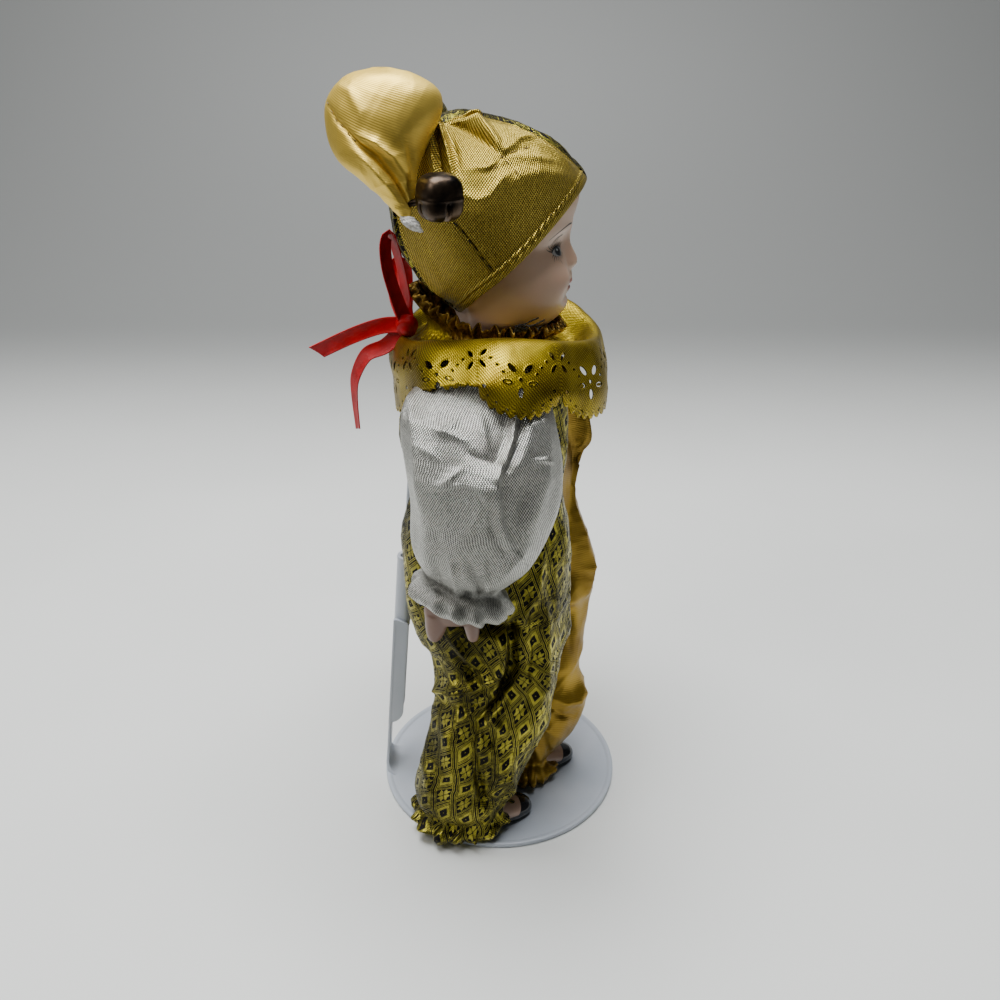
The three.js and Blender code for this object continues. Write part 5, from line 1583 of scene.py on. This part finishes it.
def stand_plate():
    """The round plate with its raised bead: a profile turned about the middle."""
    r0 = PLATE_RADIUS
    profile = np.array([
        [0.0005, 0], [r0 - 0.0006, 0], [r0 - 0.0001, 0.0003], [r0, 0.0008], [r0, 0.0014],
        [r0 - 0.0003, 0.0018], [r0 - RIM_WIDTH / 2, PLATE_THICKNESS + RIM_RISE],
        [r0 - 0.0013, 0.0017], [r0 - RIM_WIDTH, PLATE_THICKNESS + 0.0001],
        [r0 - 0.0022, PLATE_THICKNESS], [0.0005, PLATE_THICKNESS],
    ])
    t = angles(220)
    r, z = profile[:, 0:1], profile[:, 1:2]
    return grid_piece("stand_plate", grid(r * np.cos(t), r * np.sin(t), z), ENAMEL, metres=True)


def upright_web():
    """The tongue that curves up out of the plate: a sheet along a bent line, wide at its foot."""
    bend = np.linspace(0, np.pi / 2, 16)
    y = np.append(PLATE_RADIUS - FLARE - SHEET + FLARE * np.sin(bend), np.full(60, PLATE_RADIUS - SHEET))
    low = SHEET + 0.0001
    z = np.append(low + FLARE * (1 - np.cos(bend)), np.linspace(low + FLARE, TUBE_START + SHEET, 61)[1:])
    walk = walk_along(np.stack([y, z], axis=1))
    half = UPRIGHT_HALF_WIDTH + FLARE * (1 - smooth_step(walk, 0, 0.013)) ** 1.6
    w = np.linspace(-1, 1, 13)[None, :]
    x = half[:, None] * w
    return sheet_metal("upright_web", x, y[:, None], z[:, None], SHEET, offset=1, flip=True)


def upright_flange(side):
    """A side of the channel: its depth grows from a rounded lower end, is level, and drops at
    the step below the tube."""
    z = np.append(FLANGE_START + FLANGE_DEPTH * (1 - np.cos(np.linspace(0, np.pi / 2, 14))),
                  np.linspace(FLANGE_START + FLANGE_DEPTH, FLANGE_TOP, 40)[1:])
    depth = np.append(FLANGE_DEPTH * np.sin(np.linspace(0.03, np.pi / 2, 14)), np.full(39, FLANGE_DEPTH))
    depth = depth - (FLANGE_DEPTH - SHEET) * smooth_step(z, FLANGE_TOP - 0.0016, FLANGE_TOP)
    w = np.linspace(0, 1, 9)[None, :]
    x = side * (UPRIGHT_HALF_WIDTH - SHEET / 2)
    y = PLATE_RADIUS - depth[:, None] * w
    return sheet_metal("upright_flange", x, y, z[:, None], SHEET * 0.9, offset=0)


def upright_tube():
    """The rolled top: an outer and an inner wall with round lips, open along a slot in front."""
    t = np.linspace(-np.pi / 2 + TUBE_SLOT, 1.5 * np.pi - TUBE_SLOT, 60)[None, :]
    z = np.linspace(TUBE_START, TUBE_TOP, 50)[:, None]
    r = TUBE_RADIUS + 0.00012 * np.exp(-(((z - TUBE_TOP + 0.0006) / 0.0005) ** 2))
    y = PLATE_RADIUS - TUBE_RADIUS + r * np.sin(t)
    return sheet_metal("upright_tube", r * np.cos(t), y, z, TUBE_WALL)


def rod():
    """The wire: a straight stem out of the tube and the clip that goes round the waist."""
    z = np.linspace(ROD_START, WAIST_Z, 30)
    stem = np.stack([0 * z, PLATE_RADIUS - TUBE_RADIUS - LEAN * z, z], axis=1)
    t = np.linspace(np.pi / 2 - CLIP_REACH / 2, np.pi / 2 + CLIP_REACH / 2, 120)
    centre = CLIP_CENTRE * MODULE
    along = PLATE_RADIUS - TUBE_RADIUS - LEAN * WAIST_Z - centre
    reach = CLIP_HALF_WIDTH * MODULE
    clip = np.stack([reach * np.cos(t), centre + along * np.sin(t), WAIST_Z + 0 * t], axis=1)
    parts = [pipe(name, path, ROD_RADIUS, 24, ENAMEL, metres=True)
             for name, path in (("wire_stem", stem), ("wire_clip", clip))]
    return stands_for(joined("stand_wire", parts), "rod_paint", "stand_rod")


def stand():
    """The plate with the upright that is bent up out of it."""
    plate = stands_for(stand_plate(), "stand_paint", "stand_base")
    for piece in (upright_web(), upright_flange(-1), upright_flange(1), upright_tube()):
        soft = piece.modifiers.new("worn_edges", "BEVEL")
        soft.width = WORN_EDGE
        soft.segments = 2
        soft.limit_method = "ANGLE"
    return plate


# Stage, light and camera

# The paper, in metres: two points of the level floor, where it ends, the radius of the bend,
# the height of the wall and half its width
FLOOR_SPAN = [-0.15, 0.1]
FLOOR_END = 0.5
WALL_BEND = 0.3
WALL_TOP = 1.2
WALL_HALF_WIDTH = 0.9
# Place, point that it shines at, width, power and colour of each lamp
WINDOW = [(-0.35, 0.45, 0.70), (0, 0, 0.11), 0.35, 2.3, (1, 0.985, 0.96)]
CEILING = [(0.06, 0.06, 0.90), (0, 0, 0.1), 0.60, 17.0, (0.98, 0.99, 1)]
ROOM_COLOUR = (0.62, 0.64, 0.63, 1)
ROOM_LIGHT = 0.08


def backdrop():
    """A pale floor that curves up into a wall behind the doll, darker where the light falls off."""
    turn = np.linspace(0, np.pi / 2, 24)
    x = [*FLOOR_SPAN, *(FLOOR_END + WALL_BEND * np.sin(turn)), FLOOR_END + WALL_BEND]
    z = [0, 0, *(WALL_BEND * (1 - np.cos(turn))), WALL_TOP]
    y = np.linspace(-WALL_HALF_WIDTH, WALL_HALF_WIDTH, 12)
    points = grid(np.reshape(x, (-1, 1)), y, np.reshape(z, (-1, 1)))
    finish = Finish("floor_paper", Roughness=0.6)
    paper = finish.mottled(6, (0.66, 0.67, 0.65), (0.70, 0.71, 0.69))[1]
    depth = finish.parts(finish.place())[0]
    finish.colour(depth.ramp(0.16, 0.5), paper, (0.26, 0.265, 0.26))
    mesh = bpy.data.meshes.new("backdrop")
    quads = quads_of(np.arange(points.size // 3).reshape(points.shape[:2]))[..., ::-1]
    mesh.from_pydata(points.reshape(-1, 3).tolist(), [], quads.reshape(-1, 4).tolist())
    mesh.materials.append(finish.material)
    mesh.polygons.foreach_set("use_smooth", np.ones(len(mesh.polygons), dtype=bool))
    floor = in_scene("backdrop", mesh)


def lamp(name, place, aim, size, power, colour):
    """A soft square light at a place, turned to shine at a point."""
    light = bpy.data.lights.new(name, "AREA")
    light.size = size
    light.energy = power
    light.color = colour
    holder = in_scene(name, light)
    way = np.array(aim) - np.array(place)
    flat = np.hypot(way[0], way[1])
    holder.location = place
    holder.rotation_euler = (np.arctan2(flat, -way[2]), 0, np.arctan2(way[1], way[0]) - np.pi / 2)


def lights():
    """A broad light overhead, a window from the left and above, and a dim room around them."""
    lamp("window", *WINDOW)
    lamp("ceiling", *CEILING)
    world = bpy.data.worlds.new("room")
    world.use_nodes = True
    air = world.node_tree.nodes["Background"]
    air.inputs["Color"].default_value = ROOM_COLOUR
    air.inputs["Strength"].default_value = ROOM_LIGHT
    bpy.context.scene.world = world


def camera():
    """The photograph's camera: level, pitched down, with a frame as wide as its focal length."""
    data = bpy.data.cameras.new("camera")
    data.sensor_width = 36
    data.lens = 36 * FOCAL / 1000
    data.clip_start = 0.01
    holder = in_scene("camera", data)
    holder.location = EYE
    holder.rotation_euler = (np.pi / 2 - PITCH, 0, -np.pi / 2)
    bpy.context.scene.camera = holder


camera()
lights()
backdrop()
stand()
rod()
foot(-1, HEEL_RIGHT)
foot(1, HEEL_LEFT)
brocade_half()
gold_half()
for arm in (-1, 1):
    sleeve(arm)
    hand(arm)
    bell(arm)
head_piece()
face_paint()
_, near_cap = cap_half(-1, GOLD_LAME, "gold_lame", "cap_gold")
cap_half(1, BROCADE, "brocade", "cap_brocade")
_, near_horn = horn(-1, HORN_SATIN_IN_PAINTED_LIGHT, "gold_satin", "horn_gold")
horn(1, BROCADE, "brocade", "horn_brocade")
wadding()
collar()
neck_ribbon()
chin_thread()
for label, line, surface, thread, long, gap, thick in (
    ("horn_seam", HORN_SEAM, near_horn, SEWING, 1.2, 1.0, 0.14),
    ("cap_dart", CAP_DART, near_cap, THREAD, 1.3, 1.1, 0.16),
    ("cap_tack", CAP_TACK, near_cap, SEWING, 2.4, 0.1, 0.13),
    ("cap_tack_across", CAP_TACK_ACROSS, near_cap, SEWING, 2.0, 0.6, 0.11),
    ("hem_topstitch", CAP_TOPSTITCH, near_cap, GILT, 1.0, 0.9, 0.08),
):
    stitches(label, line, surface, thread, long, gap, thick)
